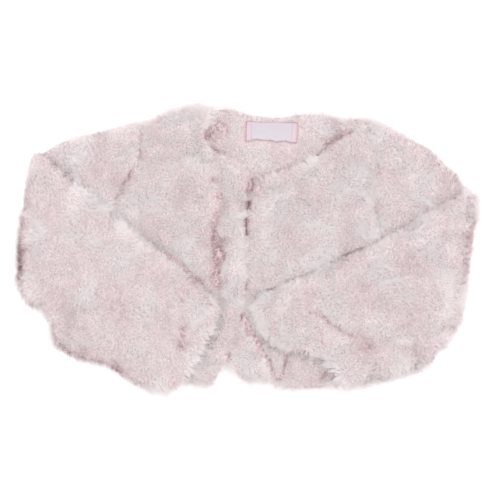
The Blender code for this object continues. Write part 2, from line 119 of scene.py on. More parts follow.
# ---- largest folds, as in the solids ----
ARMHOLE_TROUGH = (1.3, 5.0)
FRONT_BAND = {"at": 13.5, "rise": 3.6, "half": 8.0}
FRONT_VALLEY = {"at": 26.0, "from": 24.0, "to": 48.0}
LEFT_LIP = {"at": 8.0, "rise": 2.2, "half": 7.0}
SHOULDER_CREASE = (((73, 93), (87, 102), (100, 105), (112, 106)), 1.4, 4.5)
HEM_VALLEYS = (
    (((-8, -51), (-3, -64), (4, -77), (12, -91), (17, -102), (19, -112)), 4.2),
    (((31, -88), (29, -102), (26, -118)), 4.5),
    (((66, -98), (64, -112)), 4.5),
)
HEM_RISE = 4.2
NECK_BUMPS = ((8, 104, 10, 0.8), (55, 105, 8, 2.4), (70, 106, 7, 2.0), (-14, 110, 9, 1.6))
NECK_ROLL = (2.4, 8.0)
FORE_TROUGHS = (
    (((-55, -40), (-57, -62), (-59, -84)), 2.0, 8.0),
    (((-171, -70), (-155, -82), (-135, -95), (-122, -101)), 2.0, 5.0),
    (((53, -54), (73, -66), (88, -73), (99, -85)), 2.2, 7.0),
    (((150, 8), (120, -20), (96, -40)), 1.0, 12.0),
    (((-150, 20), (-120, -10), (-98, -45)), 1.0, 12.0),
)

# ---- smaller creases: a line in plan, depth (negative for a ridge) and half width ----
LOW_CREASES = (
    (((-95, 100), (-95, 84), (-99, 74), (-106, 60), (-114, 46), (-117, 40)), 1.1, 3.2),
    (((-29, 60), (-28, 22), (-28, -8), (-28, -34)), 1.6, 6.5),
    (((-37, 101), (-33, 110), (-28, 116), (-17, 104)), 1.4, 3.5),
    (((109, 84), (107, 60), (109, 36)), 1.2, 3.0),
    (((58, 100), (62, 97), (68, 91)), 1.3, 3.2),
    (((-70, 96), (-62, 70), (-66, 44)), 0.5, 9.0),
    (((-88, 62), (-72, 36), (-50, 14)), 0.5, 8.0),
    (((20, 52), (44, 40), (76, 34)), 0.6, 8.0),
    (((34, 12), (62, 22), (92, 14)), 0.5, 8.0),
    (((-140, 88), (-134, 66), (-142, 48)), 0.7, 7.0),
    (((140, 84), (132, 62), (140, 40)), 0.7, 7.0),
)
TOP_CREASES = (
    (((-171, -70), (-155, -80), (-141, -89), (-125, -99)), 1.4, 2.6),
    (((-190, 30), (-168, 22), (-150, 4)), 0.8, 7.0),
    (((-192, -20), (-170, -16), (-150, -28)), 0.7, 7.0),
    (((-120, -20), (-112, -48), (-116, -80)), 0.6, 8.0),
    (((-90, -20), (-84, -50), (-88, -84)), 0.5, 8.0),
    (((-66, -30), (-70, -62), (-72, -98)), 0.7, 4.0),
    (((54, -54), (63, -59), (70, -64), (73, -66), (80, -71), (88, -73)), 1.5, 2.8),
    (((104, -72), (96, -84), (92, -94)), 1.4, 6.0),
    (((182, 10), (160, 0), (140, 6)), 0.7, 7.0),
    (((176, -44), (150, -46), (130, -36)), 0.7, 8.0),
    (((112, -8), (100, -34), (78, -50)), 0.6, 7.0),
    (((60, -26), (52, -40), (34, -54)), 0.5, 6.0),
    (((128, -60), (120, -84), (126, -104)), 0.6, 6.0),
)

# ---- neck label ----
LABEL_AT, LABEL_SIZE, LABEL_TILT = np.array((18.8, 102.5)), (44.5, 17.5), math.radians(-2.0)


# ---- curves and distances in plan ----


def smooth_line(rows, shares):
    """Points of a curve through the rows, at these shares of its length."""
    p = np.array(rows, float)
    p = np.vstack([2 * p[0] - p[1], p, 2 * p[-1] - p[-2]])
    t = np.linspace(0, 1, 24, endpoint=False)[:, None]
    fine = []
    for a, b, c, d in zip(p, p[1:], p[2:], p[3:]):
        fine.append(0.5 * (2 * b + (c - a) * t + (2 * a - 5 * b + 4 * c - d) * t**2 + (3 * b - a - 3 * c + d) * t**3))
    fine = np.vstack([*fine, p[-2:-1]])
    along = np.r_[0, np.cumsum(np.hypot(*np.diff(fine, axis=0).T))]
    at = np.asarray(shares, float) * along[-1]
    return np.stack([np.interp(at, along, fine[:, k]) for k in (0, 1)], 1)


def even(n):
    return np.linspace(0, 1, n + 1)


def joined(*lines):
    return np.vstack([lines[0], *(line[1:] for line in lines[1:])])


def distance(p, line):
    """From each point to the nearest point of a polyline."""
    p, line = np.asarray(p, float), np.asarray(line, float)
    best = np.full(p.shape[:-1], 1e9)
    for a, b in zip(line[:-1], line[1:]):
        d = b - a
        v = p - a
        t = np.clip((v @ d) / max(d @ d, 1e-9), 0, 1)
        best = np.minimum(best, ((v - t[..., None] * d) ** 2).sum(-1))
    return np.sqrt(best)


def beyond(p, outline):
    """Distance outside a closed outline, negative inside it."""
    p = np.asarray(p, float)
    ring = np.vstack([outline, outline[:1]])
    inside = np.zeros(p.shape[:-1], bool)
    x, y = p[..., 0], p[..., 1]
    for a, b in zip(ring[:-1], ring[1:]):
        rise = b[1] - a[1] or 1e-12
        inside ^= ((a[1] > y) != (b[1] > y)) & (x < (b[0] - a[0]) * (y - a[1]) / rise + a[0])
    d = distance(p, ring)
    return np.where(inside, -d, d)


def ramp(x, low, high):
    t = np.clip((np.asarray(x, float) - low) / (high - low), 0, 1)
    return t * t * (3 - 2 * t)


def rounding(e, reach):
    """0 at an edge and 1 from reach inwards, as a quarter of an ellipse."""
    t = np.clip(np.asarray(e, float) / reach, 0, 1)
    return np.sqrt(1 - (1 - t) ** 2)


def bell(x, half):
    return np.exp(-((np.asarray(x, float) / half) ** 2))


def lumps(p, size, seed):
    """Smooth random field of unit spread, with lumps about this size across."""
    g = np.random.default_rng(seed)
    total = 0.0
    for _ in range(16):
        a, phase, wave = g.uniform(0, 2 * math.pi), g.uniform(0, 2 * math.pi), size * g.uniform(1.4, 3.2)
        total = total + np.cos(2 * math.pi / wave * (p[..., 0] * math.cos(a) + p[..., 1] * math.sin(a)) + phase)
    return total / math.sqrt(8)


def coons(first, last, start, end):
    """Patch between four edges: first and last run across, start and end run down."""
    u = np.r_[0, np.cumsum(np.hypot(*np.diff(first, axis=0).T))]
    u2 = np.r_[0, np.cumsum(np.hypot(*np.diff(last, axis=0).T))]
    w = np.r_[0, np.cumsum(np.hypot(*np.diff(start, axis=0).T))]
    w2 = np.r_[0, np.cumsum(np.hypot(*np.diff(end, axis=0).T))]
    u = ((u / u[-1] + u2 / u2[-1]) / 2)[None, :, None]
    w = ((w / w[-1] + w2 / w2[-1]) / 2)[:, None, None]
    ruled = (1 - w) * first[None] + w * last[None] + (1 - u) * start[:, None] + u * end[:, None]
    corners = (1 - w) * ((1 - u) * first[0] + u * first[-1]) + w * ((1 - u) * last[0] + u * last[-1])
    return ruled - corners


# ---- outlines of the pieces in plan ----

FINE = even(40)


def line_of(rows):
    return smooth_line(rows, FINE)


def outline(*edges):
    return joined(*[line_of(rows) for rows in edges])


def turned(rows):
    return tuple(reversed(rows))


right_opening, left_opening = line_of(RIGHT_OPENING), line_of(LEFT_OPENING)
right_neckline, left_neckline = line_of(RIGHT_NECKLINE), line_of(LEFT_NECKLINE)
seamed_rims = [line_of(rows) for rows in (RIGHT_SHOULDER, RIGHT_SIDE, LEFT_SHOULDER, LEFT_SIDE)]
armholes = [line_of(RIGHT_ARMHOLE), line_of(LEFT_ARMHOLE)]
back_neck = line_of(BACK_NECK)
right_front_outline = outline(RIGHT_SHOULDER, RIGHT_ARMHOLE, RIGHT_SIDE, turned(RIGHT_HEM), turned(RIGHT_OPENING), turned(RIGHT_NECKLINE))
left_front_outline = outline(LEFT_SHOULDER, LEFT_ARMHOLE, LEFT_SIDE, turned(LEFT_HEM), turned(LEFT_OPENING), turned(LEFT_NECKLINE))


def fold_line(sleeve, shares):
    """(outer contour, line that the sleeve turns about, unit vectors from the second to the first)."""
    contour = smooth_line(sleeve["contour"], shares)
    fine = smooth_line(sleeve["contour"], even(60))
    along = np.gradient(fine, axis=0)
    at = [np.argmin(((fine - c) ** 2).sum(1)) for c in contour]
    out = np.stack([-along[at, 1], along[at, 0]], 1)
    out /= np.hypot(*out.T)[:, None]
    out *= np.sign(out[:, :1] * sleeve["outward"])
    return contour, contour - FOLD_REACH * out, out


for sleeve in (RIGHT_SLEEVE, LEFT_SLEEVE):
    _, axis_line, _ = fold_line(sleeve, FINE)
    ends = (tuple(axis_line[0]), tuple(axis_line[-1]))
    sleeve["upper_outline"] = joined(
        line_of(sleeve["armhole"]), line_of(sleeve["upper_low"] + ends[1:]), axis_line[::-1],
        line_of(ends[:1] + turned(sleeve["upper_top"])),
    )
    sleeve["fore_outline"] = joined(
        axis_line, line_of(ends[1:] + sleeve["fore_low"]), line_of(turned(sleeve["cuff"])),
        line_of(turned(sleeve["fore_top"]) + ends[:1]),
    )


# ---- heights ----


def under_forearm(p):
    """0 beneath a forearm and 1 well clear of both."""
    clear = np.minimum(beyond(p, RIGHT_SLEEVE["fore_outline"]), beyond(p, LEFT_SLEEVE["fore_outline"]))
    return ramp(clear, 2.5, 11)


def creased(p, creases):
    return sum(depth * bell(distance(p, smooth_line(rows, even(16))), half) for rows, depth, half in creases)


def relief(p):
    """How far the fronts and the upper arms stand above their lowest level."""
    p = np.asarray(p, float)
    x, y = p[..., 0], p[..., 1]
    right_of_body = beyond(p, right_front_outline) < 1
    d_right, d_left = distance(p, right_opening), distance(p, left_opening)
    open_part = ramp(y, -62, -40) * ramp(-y, -66, -50)
    band = FRONT_BAND["rise"] * bell(d_right - FRONT_BAND["at"], FRONT_BAND["half"]) * ramp(-y, -66, -50)
    on_right = band + PUFF_FRONT * ramp(d_right, FRONT_VALLEY["from"], FRONT_VALLEY["to"])
    lip = LEFT_LIP["rise"] * bell(d_left - LEFT_LIP["at"], LEFT_LIP["half"]) * open_part
    on_left = lip + PUFF_FRONT * ramp(d_left, 14, 36)
    rise = np.where(right_of_body | (x < -93), on_right, on_left)
    valleys = 1.0
    for rows, half in HEM_VALLEYS:
        valleys = valleys * (1 - bell(distance(p, smooth_line(rows, even(16))), half))
    at_hem = ramp(-y, 58, 84) * ramp(x, -60, -30) * ramp(-x, -80, -60)
    rise = rise * (1 - at_hem) + HEM_RISE * valleys * at_hem
    for line in armholes:
        rise = rise - ARMHOLE_TROUGH[0] * bell(distance(p, line), ARMHOLE_TROUGH[1])
    rows, depth, half = SHOULDER_CREASE
    rise = rise - depth * bell(distance(p, smooth_line(rows, even(16))), half)
    neck = np.minimum(distance(p, right_neckline), distance(p, left_neckline))
    rise = rise + 1.6 * bell(neck - 4, 6)
    rise = rise - creased(p, LOW_CREASES) + 0.45 * lumps(p, 12, 5) + 0.25 * lumps(p, 6, 6) + 0.5
    return np.maximum(rise, 0) * under_forearm(p)


def neck_relief(p):
    """How far the back panel stands above its flat level, inside the neck only."""
    p = np.asarray(p, float)
    x, y = p[..., 0], p[..., 1]
    rise = sum(h * bell(np.hypot(x - a, y - b), r) for a, b, r, h in NECK_BUMPS)
    rise = rise + NECK_ROLL[0] * bell(distance(p, back_neck), NECK_ROLL[1])
    clear = np.minimum(beyond(p, right_front_outline), beyond(p, left_front_outline))
    return rise * ramp(clear, 9, 20)


def seamed(p):
    return rounding(np.min([distance(p, line) for line in seamed_rims], axis=0), SIDE_ROUND)


def free_edge(p, *edges):
    return rounding(np.min([distance(p, line_of(rows)) for rows in edges], axis=0), FREE_ROUND)


def back_levels(p):
    top = WALL + neck_relief(p) - 1.2 * (1 - free_edge(p, BACK_NECK, BACK_HEM))
    return 2.4 * (1 - seamed(p)), top


def front_levels(p, free):
    low = LAYER_1 + relief(p)
    top = low + WALL * (0.4 + 0.6 * seamed(p)) - 1.4 * (1 - free_edge(p, *free)) * seamed(p)
    return low, top


def forearm_base(p, body_outline, sleeve):
    """Underside of a forearm: on the layers below it, and down on the floor past their edges."""
    off = np.minimum(beyond(p, body_outline), beyond(p, sleeve["upper_outline"]))
    return LAYER_2 * (1 - ramp(off, DROP_FROM, DROP_TO))


def forearm_loft(p, v, s):
    rise = PUFF_FORE * np.sin(math.pi * v) ** 0.8
    for rows, depth, half in FORE_TROUGHS:
        rise = rise - depth * bell(distance(p, smooth_line(rows, even(16))), half)
    rise = rise - creased(p, TOP_CREASES) + 0.55 * lumps(p, 13, 8) + 0.3 * lumps(p, 6, 9) + 0.4
    return (FORE_OPEN + np.maximum(rise, 0)) * ramp(s, 0, 0.1)


# ---- cloth shells ----


def plain_mesh(name, verts, faces):
    """A mesh of faces that all have the same number of corners."""
    n = faces.shape[1]
    me = bpy.data.meshes.new(name)
    me.vertices.add(len(verts))
    me.vertices.foreach_set("co", (np.asarray(verts, np.float32) * MM).ravel())
    me.loops.add(faces.size)
    me.loops.foreach_set("vertex_index", faces.astype(np.int32).ravel())
    me.polygons.add(len(faces))
    me.polygons.foreach_set("loop_start", np.arange(0, faces.size, n, dtype=np.int32))
    me.update(calc_edges=True)
    return me


def shell(name, first, second, wrap, material):
    """Closed cloth between two grids of points: quads on both, joined round the rims."""
    rows, cols = first.shape[:2]
    n = rows * cols
    at = np.arange(n).reshape(rows, cols)
    if wrap:
        at = np.hstack([at, at[:, :1]])
    outer = np.stack([at[:-1, :-1], at[:-1, 1:], at[1:, 1:], at[1:, :-1]], -1).reshape(-1, 4)
    rims = [at[0], at[-1][::-1]] + ([] if wrap else [at[:, -1], at[::-1, 0]])
    rim = np.vstack([np.stack([r[1:], r[:-1], r[:-1] + n, r[1:] + n], 1) for r in rims])
    verts = np.vstack([first.reshape(-1, 3), second.reshape(-1, 3)])
    faces = np.vstack([outer, outer[:, ::-1] + n, rim])
    a, b, c, d = (verts[faces[:, k]] for k in range(4))
    volume = (np.einsum("ij,ij->i", a, np.cross(b, c)) + np.einsum("ij,ij->i", a, np.cross(c, d))).sum()
    if volume < 0:
        faces = faces[:, ::-1]
    me = plain_mesh(name, verts, faces)
    me.shade_smooth()
    me.materials.append(material)
    obj = bpy.data.objects.new(name, me)
    bpy.context.scene.collection.objects.link(obj)
    return obj, verts, faces


def lifted(plan, z):
    return np.dstack([plan - CENTRE, z])


def resample(rows, start=None, end=None, shares=()):
    rows = ((tuple(start),) if start is not None else ()) + tuple(rows) + ((tuple(end),) if end is not None else ())
    return smooth_line(rows, shares)


def sleeve_tube(sleeve, body_outline):
    """(outer rings, inner rings) of a flattened tube: along the floor, round the fold and back."""
    shift = np.array([SEAM * sleeve["outward"], 0])
    _, axis, out = fold_line(sleeve, ACROSS)
    armhole = smooth_line(sleeve["armhole"], ACROSS) + shift
    upper = coons(
        armhole, axis,
        resample((armhole[0],) + sleeve["upper_top"][1:], end=axis[0], shares=UPPER_RINGS),
        resample((armhole[-1],) + sleeve["upper_low"][1:], end=axis[-1], shares=UPPER_RINGS),
    )
    fore = coons(
        axis, smooth_line(sleeve["cuff"], ACROSS),
        resample(sleeve["fore_top"], start=axis[0], shares=FORE_RINGS),
        resample(sleeve["fore_low"], start=axis[-1], shares=FORE_RINGS),
    )
    rings_out, rings_in = [], []

    def ring(plan, place, settled=0.0):
        width = np.hypot(*np.diff(plan, axis=0).T).sum()
        shares = np.array(ACROSS)
        reach = np.minimum(shares, 1 - shares) * width
        margin = WALL / width
        inner = margin + shares * (1 - 2 * margin)
        reach_in = (np.minimum(inner, 1 - inner) - margin) * width
        upper_side = TUBE_HALF * rounding(reach, SIDE_ROUND)
        # Settled cloth: the lower side is flat nearly to the edges, and the upper side comes down to it there.
        drop = settled * (TUBE_HALF - EDGE_RISE)
        both = upper_side - drop * (1 - rounding(reach, SIDE_ROUND)), upper_side + drop * (1 - rounding(reach, 2.5))
        for rings, v, heights in (
            (rings_out, shares, both),
            (rings_in, inner, (GAP / 2 * rounding(reach_in, 3),) * 2),
        ):
            at = np.stack([np.interp(v, ACROSS, plan[:, k]) for k in (0, 1)], 1)
            rings.append(np.vstack([place(at, v, heights[0], 1), place(at, v, heights[1], -1)[-2:0:-1]]))

    def on_floor(at, v, height, side):
        z = TUBE_HALF - side * height
        if side < 0:
            z = z + relief(at) * rounding(np.minimum(v, 1 - v), 0.1)
        return np.column_stack([at - CENTRE, z])

    for row in upper:
        ring(row, on_floor)
    for degrees in FOLD_RINGS:
        turn = math.radians(degrees)

        def around(at, v, height, side, turn=turn):
            o = np.stack([np.interp(v, ACROSS, out[:, k]) for k in (0, 1)], 1)
            rho = (FOLD_AXIS_Z - TUBE_HALF + side * height)[:, None]
            flat = at + rho * math.sin(turn) * o
            return np.column_stack([flat - CENTRE, FOLD_AXIS_Z - rho[:, 0] * math.cos(turn)])

        ring(axis, around)
    for share, row in zip(FORE_RINGS, fore):

        def on_top(at, v, height, side, share=share):
            z = forearm_base(at, body_outline, sleeve) + TUBE_HALF + side * height
            if side > 0:
                z = z + forearm_loft(at, v, share) * rounding(np.minimum(v, 1 - v), 0.1)
                # The cuff's upper wall thins and comes down to the lower one.
                z = z - CUFF_SETTLES[0] * (1 - rounding(distance(at, line_of(sleeve["cuff"])), CUFF_SETTLES[1]))
            return np.column_stack([at - CENTRE, z])

        ring(row, on_top, settled=float(ramp(share, 0.0, 0.12)))
    return np.array(rings_out), np.array(rings_in)


# ---- materials ----


def new_material(name):
    m = bpy.data.materials.new(name)
    m.use_nodes = True
    nt = m.node_tree
    return m, nt, nt.nodes["Principled BSDF"]


def linear(r, g, b):
    """A colour given as 0 to 255, as the shader's linear numbers."""
    c = [v / 255 for v in (r, g, b)]
    return tuple(v / 12.92 if v <= 0.04045 else ((v + 0.055) / 1.055) ** 2.4 for v in c) + (1.0,)


def ramp_node(nt, source, stops):
    node = nt.nodes.new("ShaderNodeValToRGB")
    ends = node.color_ramp.elements
    for k, (at, colour) in enumerate(stops):
        e = ends[k] if k < 2 else ends.new(at)
        e.position, e.color = at, colour
    nt.links.new(source, node.inputs["Fac"])
    return node.outputs["Color"]


def cloth_material():
    """Knit ground under the pile: deeper pink, with the loops and rows of the knit."""
    m, nt, shader = new_material("pile_ground")
    where = nt.nodes.new("ShaderNodeTexCoord").outputs["Object"]
    clots = nt.nodes.new("ShaderNodeTexVoronoi")
    clots.inputs["Scale"].default_value = 420
    nt.links.new(where, clots.inputs["Vector"])
    noise = nt.nodes.new("ShaderNodeTexNoise")
    noise.inputs["Scale"].default_value = 60
    noise.inputs["Detail"].default_value = 6
    nt.links.new(where, noise.inputs["Vector"])
    blend = nt.nodes.new("ShaderNodeMath")
    blend.operation = "MULTIPLY_ADD"
    nt.links.new(clots.outputs["Distance"], blend.inputs[0])
    blend.inputs[1].default_value = -0.5
    nt.links.new(noise.outputs["Fac"], blend.inputs[2])
    colour = ramp_node(nt, blend.outputs["Value"], ((0.2, linear(205, 185, 188)), (0.75, linear(217, 202, 204))))
    nt.links.new(colour, shader.inputs["Base Color"])
    rough = nt.nodes.new("ShaderNodeMapRange")
    nt.links.new(noise.outputs["Fac"], rough.inputs["Value"])
    rough.inputs["To Min"].default_value, rough.inputs["To Max"].default_value = 0.85, 1.0
    nt.links.new(rough.outputs["Result"], shader.inputs["Roughness"])
    bump = nt.nodes.new("ShaderNodeBump")
    bump.inputs["Strength"].default_value = 0.8
    bump.inputs["Distance"].default_value = 0.0012
    nt.links.new(clots.outputs["Distance"], bump.inputs["Height"])
    nt.links.new(bump.outputs["Normal"], shader.inputs["Normal"])
    shader.inputs["Sheen Weight"].default_value = 0.3
    return m


PILE_MAP = "OFBake"  # across it a blade's tone, from deep pink to white; up it the way from root to tip
ROOT_TONES = ((0.0, linear(144, 105, 111)), (0.15, linear(202, 178, 181)), (0.35, linear(236, 227, 227)), (0.6, linear(242, 236, 236)), (1.0, linear(246, 242, 242)))
TIP_TONES = ((0.0, linear(172, 134, 139)), (0.15, linear(221, 202, 204)), (0.35, linear(245, 237, 237)), (0.6, linear(248, 243, 243)), (1.0, linear(252, 250, 250)))


def pile_material():
    m, nt, shader = new_material("pile_blades")
    place = nt.nodes.new("ShaderNodeUVMap")
    place.uv_map = PILE_MAP
    split = nt.nodes.new("ShaderNodeSeparateXYZ")
    nt.links.new(place.outputs["UV"], split.inputs["Vector"])
    root = ramp_node(nt, split.outputs["X"], ROOT_TONES)
    tip = ramp_node(nt, split.outputs["X"], TIP_TONES)
    up = nt.nodes.new("ShaderNodeMapRange")
    up.interpolation_type = "SMOOTHSTEP"
    up.inputs["From Min"].default_value, up.inputs["From Max"].default_value = 0.0, 0.7
    nt.links.new(split.outputs["Y"], up.inputs["Value"])
    mix = nt.nodes.new("ShaderNodeMix")
    mix.data_type = "RGBA"
    nt.links.new(up.outputs["Result"], mix.inputs["Factor"])
    nt.links.new(root, mix.inputs["A"])
    nt.links.new(tip, mix.inputs["B"])
    nt.links.new(mix.outputs["Result"], shader.inputs["Base Color"])
    rough = nt.nodes.new("ShaderNodeMapRange")
    rough.inputs["To Min"].default_value, rough.inputs["To Max"].default_value = 0.95, 0.7
    nt.links.new(split.outputs["Y"], rough.inputs["Value"])
    nt.links.new(rough.outputs["Result"], shader.inputs["Roughness"])
    shader.inputs["Sheen Weight"].default_value = 0.35
    shader.inputs["Sheen Roughness"].default_value = 0.5
    shader.inputs["Specular IOR Level"].default_value = 0.3
    # Fine hair lets light through, so a blade is as light from behind as from the front.
    through = nt.nodes.new("ShaderNodeBsdfTranslucent")
    nt.links.new(mix.outputs["Result"], through.inputs["Color"])
    both = nt.nodes.new("ShaderNodeMixShader")
    both.inputs["Fac"].default_value = 0.47
    nt.links.new(shader.outputs["BSDF"], both.inputs[1])
    nt.links.new(through.outputs["BSDF"], both.inputs[2])
    out = next(n for n in nt.nodes if n.type == "OUTPUT_MATERIAL")
    nt.links.new(both.outputs["Shader"], out.inputs["Surface"])
    return m


ground = cloth_material()
blades = pile_material()

# ---- the shells ----

def two_part(first_rows, last_rows, n_first, n_last):
    return joined(smooth_line(first_rows, even(n_first)), smooth_line(last_rows, even(n_last)))


ROWS_NECK, ROWS_OPENING = 16, 42
ROWS_ARM, ROWS_SIDE = 34, 24
COLS_FRONT = FINE_PANEL


def front(shoulder, neckline, opening, armhole, side, hem):
    start = two_part(neckline, opening, ROWS_NECK, ROWS_OPENING)
    end = two_part(armhole, side, ROWS_ARM, ROWS_SIDE)
    return coons(smooth_line(shoulder, COLS_FRONT), smooth_line(hem, COLS_FRONT), start, end)


right_plan = front(RIGHT_SHOULDER, RIGHT_NECKLINE, RIGHT_OPENING, RIGHT_ARMHOLE, RIGHT_SIDE, RIGHT_HEM)
left_plan = front(LEFT_SHOULDER, LEFT_NECKLINE, LEFT_OPENING, LEFT_ARMHOLE, LEFT_SIDE, LEFT_HEM)
back_plan = coons(
    joined(smooth_line(turned(RIGHT_SHOULDER), even(14)), smooth_line(BACK_NECK, even(36)), smooth_line(LEFT_SHOULDER, even(10))),
    smooth_line(BACK_HEM, even(60)),
    two_part(RIGHT_ARMHOLE, RIGHT_SIDE, ROWS_ARM, ROWS_SIDE),
    two_part(LEFT_ARMHOLE, LEFT_SIDE, ROWS_ARM, ROWS_SIDE),
)


def both_levels(plan, levels):
    low, top = levels
    return lifted(plan, low), lifted(plan, top)


surfaces = {}  # name: (outer grid of points, wraps round)
shells = {}
solid_parts = []
for name, plan, levels in (
    ("back", back_plan, back_levels(back_plan)),
    ("front_right", right_plan, front_levels(right_plan, (RIGHT_NECKLINE, RIGHT_OPENING, RIGHT_HEM))),
    ("front_left", left_plan, front_levels(left_plan, (LEFT_NECKLINE, LEFT_OPENING, LEFT_HEM))),
):
    low, top = both_levels(plan, levels)
    shells[name], v, f = shell("cloth_" + name, top, low, False, ground)
    surfaces[name] = (top, False)
    solid_parts.append((v, f))
for name, sleeve, body in (("sleeve_right", RIGHT_SLEEVE, right_front_outline), ("sleeve_left", LEFT_SLEEVE, left_front_outline)):
    outer, inner = sleeve_tube(sleeve, body)
    shells[name], v, f = shell("cloth_" + name, outer, inner, True, ground)
    surfaces[name] = (outer, True)
    solid_parts.append((v, f))

everything = []
faces_of_all = []
for v, f in solid_parts:
    faces_of_all += (f + sum(len(e) for e in everything)).tolist()
    everything.append(v)
cover = BVHTree.FromPolygons(np.vstack(everything).tolist(), faces_of_all)

# ---- neck label ----

tilt_x = np.array((math.cos(LABEL_TILT), math.sin(LABEL_TILT)))
tilt_y = np.array((-math.sin(LABEL_TILT), math.cos(LABEL_TILT)))


def in_label(plan):
    """A point's place on the label, in mm from its middle, along it and up it."""
    off = plan - LABEL_AT
    return off @ tilt_x, off @ tilt_y


# How far the label's long edges are drawn in, mm: places along it, and the depths there.
LABEL_LOW_EDGE = (-22, -18, -16, -12, -7, -1, 4, 9, 13, 17, 22), (0, 0.2, 1.8, 2.4, 1.5, 1.9, 0.9, 1.4, 1.6, 0.3, 0)
LABEL_TOP_EDGE = (-22, -17, -10, -2, 6, 14, 22), (0, 0.5, 1.1, 0.7, 1.0, 0.5, 0)


def label_grid(nx, ny):
    gx, gy = np.meshgrid(np.linspace(-0.5, 0.5, nx) * LABEL_SIZE[0], np.linspace(-0.5, 0.5, ny) * LABEL_SIZE[1])
    # The long edges are drawn in between the sewn ends, and the lower one waves.
    pulled = np.clip(1 - (2 * gx / LABEL_SIZE[0]) ** 4, 0, 1)
    low_pull = np.interp(gx, *LABEL_LOW_EDGE)
    top_pull = np.interp(gx, *LABEL_TOP_EDGE)
    half = LABEL_SIZE[1] / 2
    gy = np.where(gy < 0, gy * (1 - low_pull / half), gy * (1 - top_pull / half))
    plan = LABEL_AT + gx[..., None] * tilt_x + gy[..., None] * tilt_y
    z = np.empty(gx.shape)
    for j in range(ny):
        for i in range(nx):
            x, y = plan[j, i] - CENTRE
            hit = cover.ray_cast(Vector((x, y, 60)), Vector((0, 0, -1)))[0]
            z[j, i] = hit.z if hit else WALL
    low_edge = ramp(-gy, 1.5, LABEL_SIZE[1] / 2)
    z = z + 1.2 + pulled * (0.5 * np.sin(gx * 0.33 + 0.8) * low_edge + 0.8 * low_pull * low_edge**2)
    return gx, gy, plan, z


def label_material():
    m, nt, shader = new_material("label_satin")
    place = nt.nodes.new("ShaderNodeUVMap")
    place.uv_map = "across_label"
    split = nt.nodes.new("ShaderNodeSeparateXYZ")
    nt.links.new(place.outputs["UV"], split.inputs["Vector"])
    # Distance from the middle along the label, 0 to 1 at its sewn ends.
    ends = nt.nodes.new("ShaderNodeMath")
    ends.operation = "MULTIPLY_ADD"
    nt.links.new(split.outputs["X"], ends.inputs[0])
    ends.inputs[1].default_value, ends.inputs[2].default_value = 2, -1
    away = nt.nodes.new("ShaderNodeMath")
    away.operation = "ABSOLUTE"
    nt.links.new(ends.outputs["Value"], away.inputs[0])
    lilac, pink, line = linear(191, 183, 190), linear(202, 179, 188), linear(146, 125, 134)
    along = ramp_node(nt, away.outputs["Value"], ((0.0, lilac), (0.775, lilac), (0.79, linear(176, 152, 164)), (0.815, pink), (0.95, pink), (1.0, linear(184, 156, 168))))
    rise = nt.nodes.new("ShaderNodeMath")
    rise.operation = "MULTIPLY_ADD"
    nt.links.new(split.outputs["Y"], rise.inputs[0])
    rise.inputs[1].default_value, rise.inputs[2].default_value = 2, -1
    side = nt.nodes.new("ShaderNodeMath")
    side.operation = "ABSOLUTE"
    nt.links.new(rise.outputs["Value"], side.inputs[0])
    edge = nt.nodes.new("ShaderNodeMapRange")
    edge.inputs["From Min"].default_value, edge.inputs["From Max"].default_value = 0.9, 0.98
    nt.links.new(side.outputs["Value"], edge.inputs["Value"])
    mix = nt.nodes.new("ShaderNodeMix")
    mix.data_type = "RGBA"
    nt.links.new(edge.outputs["Result"], mix.inputs["Factor"])
    nt.links.new(along, mix.inputs["A"])
    mix.inputs["B"].default_value = line
    # Fine satin threads, 5 to the millimetre across and 3 up.
    threads = nt.nodes.new("ShaderNodeMapping")
    threads.inputs["Scale"].default_value = (LABEL_SIZE[0] * 2.6, LABEL_SIZE[1] * 3.2, 1)
    nt.links.new(place.outputs["UV"], threads.inputs["Vector"])
    weave = nt.nodes.new("ShaderNodeTexChecker")
    weave.inputs["Scale"].default_value = 1
    nt.links.new(threads.outputs["Vector"], weave.inputs["Vector"])
    fuzz = nt.nodes.new("ShaderNodeTexNoise")
    fuzz.inputs["Scale"].default_value = 1.7
    fuzz.inputs["Detail"].default_value = 4
    nt.links.new(threads.outputs["Vector"], fuzz.inputs["Vector"])
    tone = nt.nodes.new("ShaderNodeMapRange")
    tone.inputs["To Min"].default_value, tone.inputs["To Max"].default_value = 0.86, 1.08
    nt.links.new(fuzz.outputs["Fac"], tone.inputs["Value"])
    shade = nt.nodes.new("ShaderNodeMix")
    shade.data_type, shade.blend_type = "RGBA", "MULTIPLY"
    shade.inputs["Factor"].default_value = 1
    nt.links.new(mix.outputs["Result"], shade.inputs["A"])
    nt.links.new(tone.outputs["Result"], shade.inputs["B"])
    nt.links.new(shade.outputs["Result"], shader.inputs["Base Color"])
    rough = nt.nodes.new("ShaderNodeMapRange")
    rough.inputs["To Min"].default_value, rough.inputs["To Max"].default_value = 0.38, 0.6
    nt.links.new(fuzz.outputs["Fac"], rough.inputs["Value"])
    nt.links.new(rough.outputs["Result"], shader.inputs["Roughness"])
    bump = nt.nodes.new("ShaderNodeBump")
    bump.inputs["Strength"].default_value, bump.inputs["Distance"].default_value = 0.5, 0.0002
    nt.links.new(weave.outputs["Fac"], bump.inputs["Height"])
    nt.links.new(bump.outputs["Normal"], shader.inputs["Normal"])
    shader.inputs["Sheen Weight"].default_value = 0.15
    return m


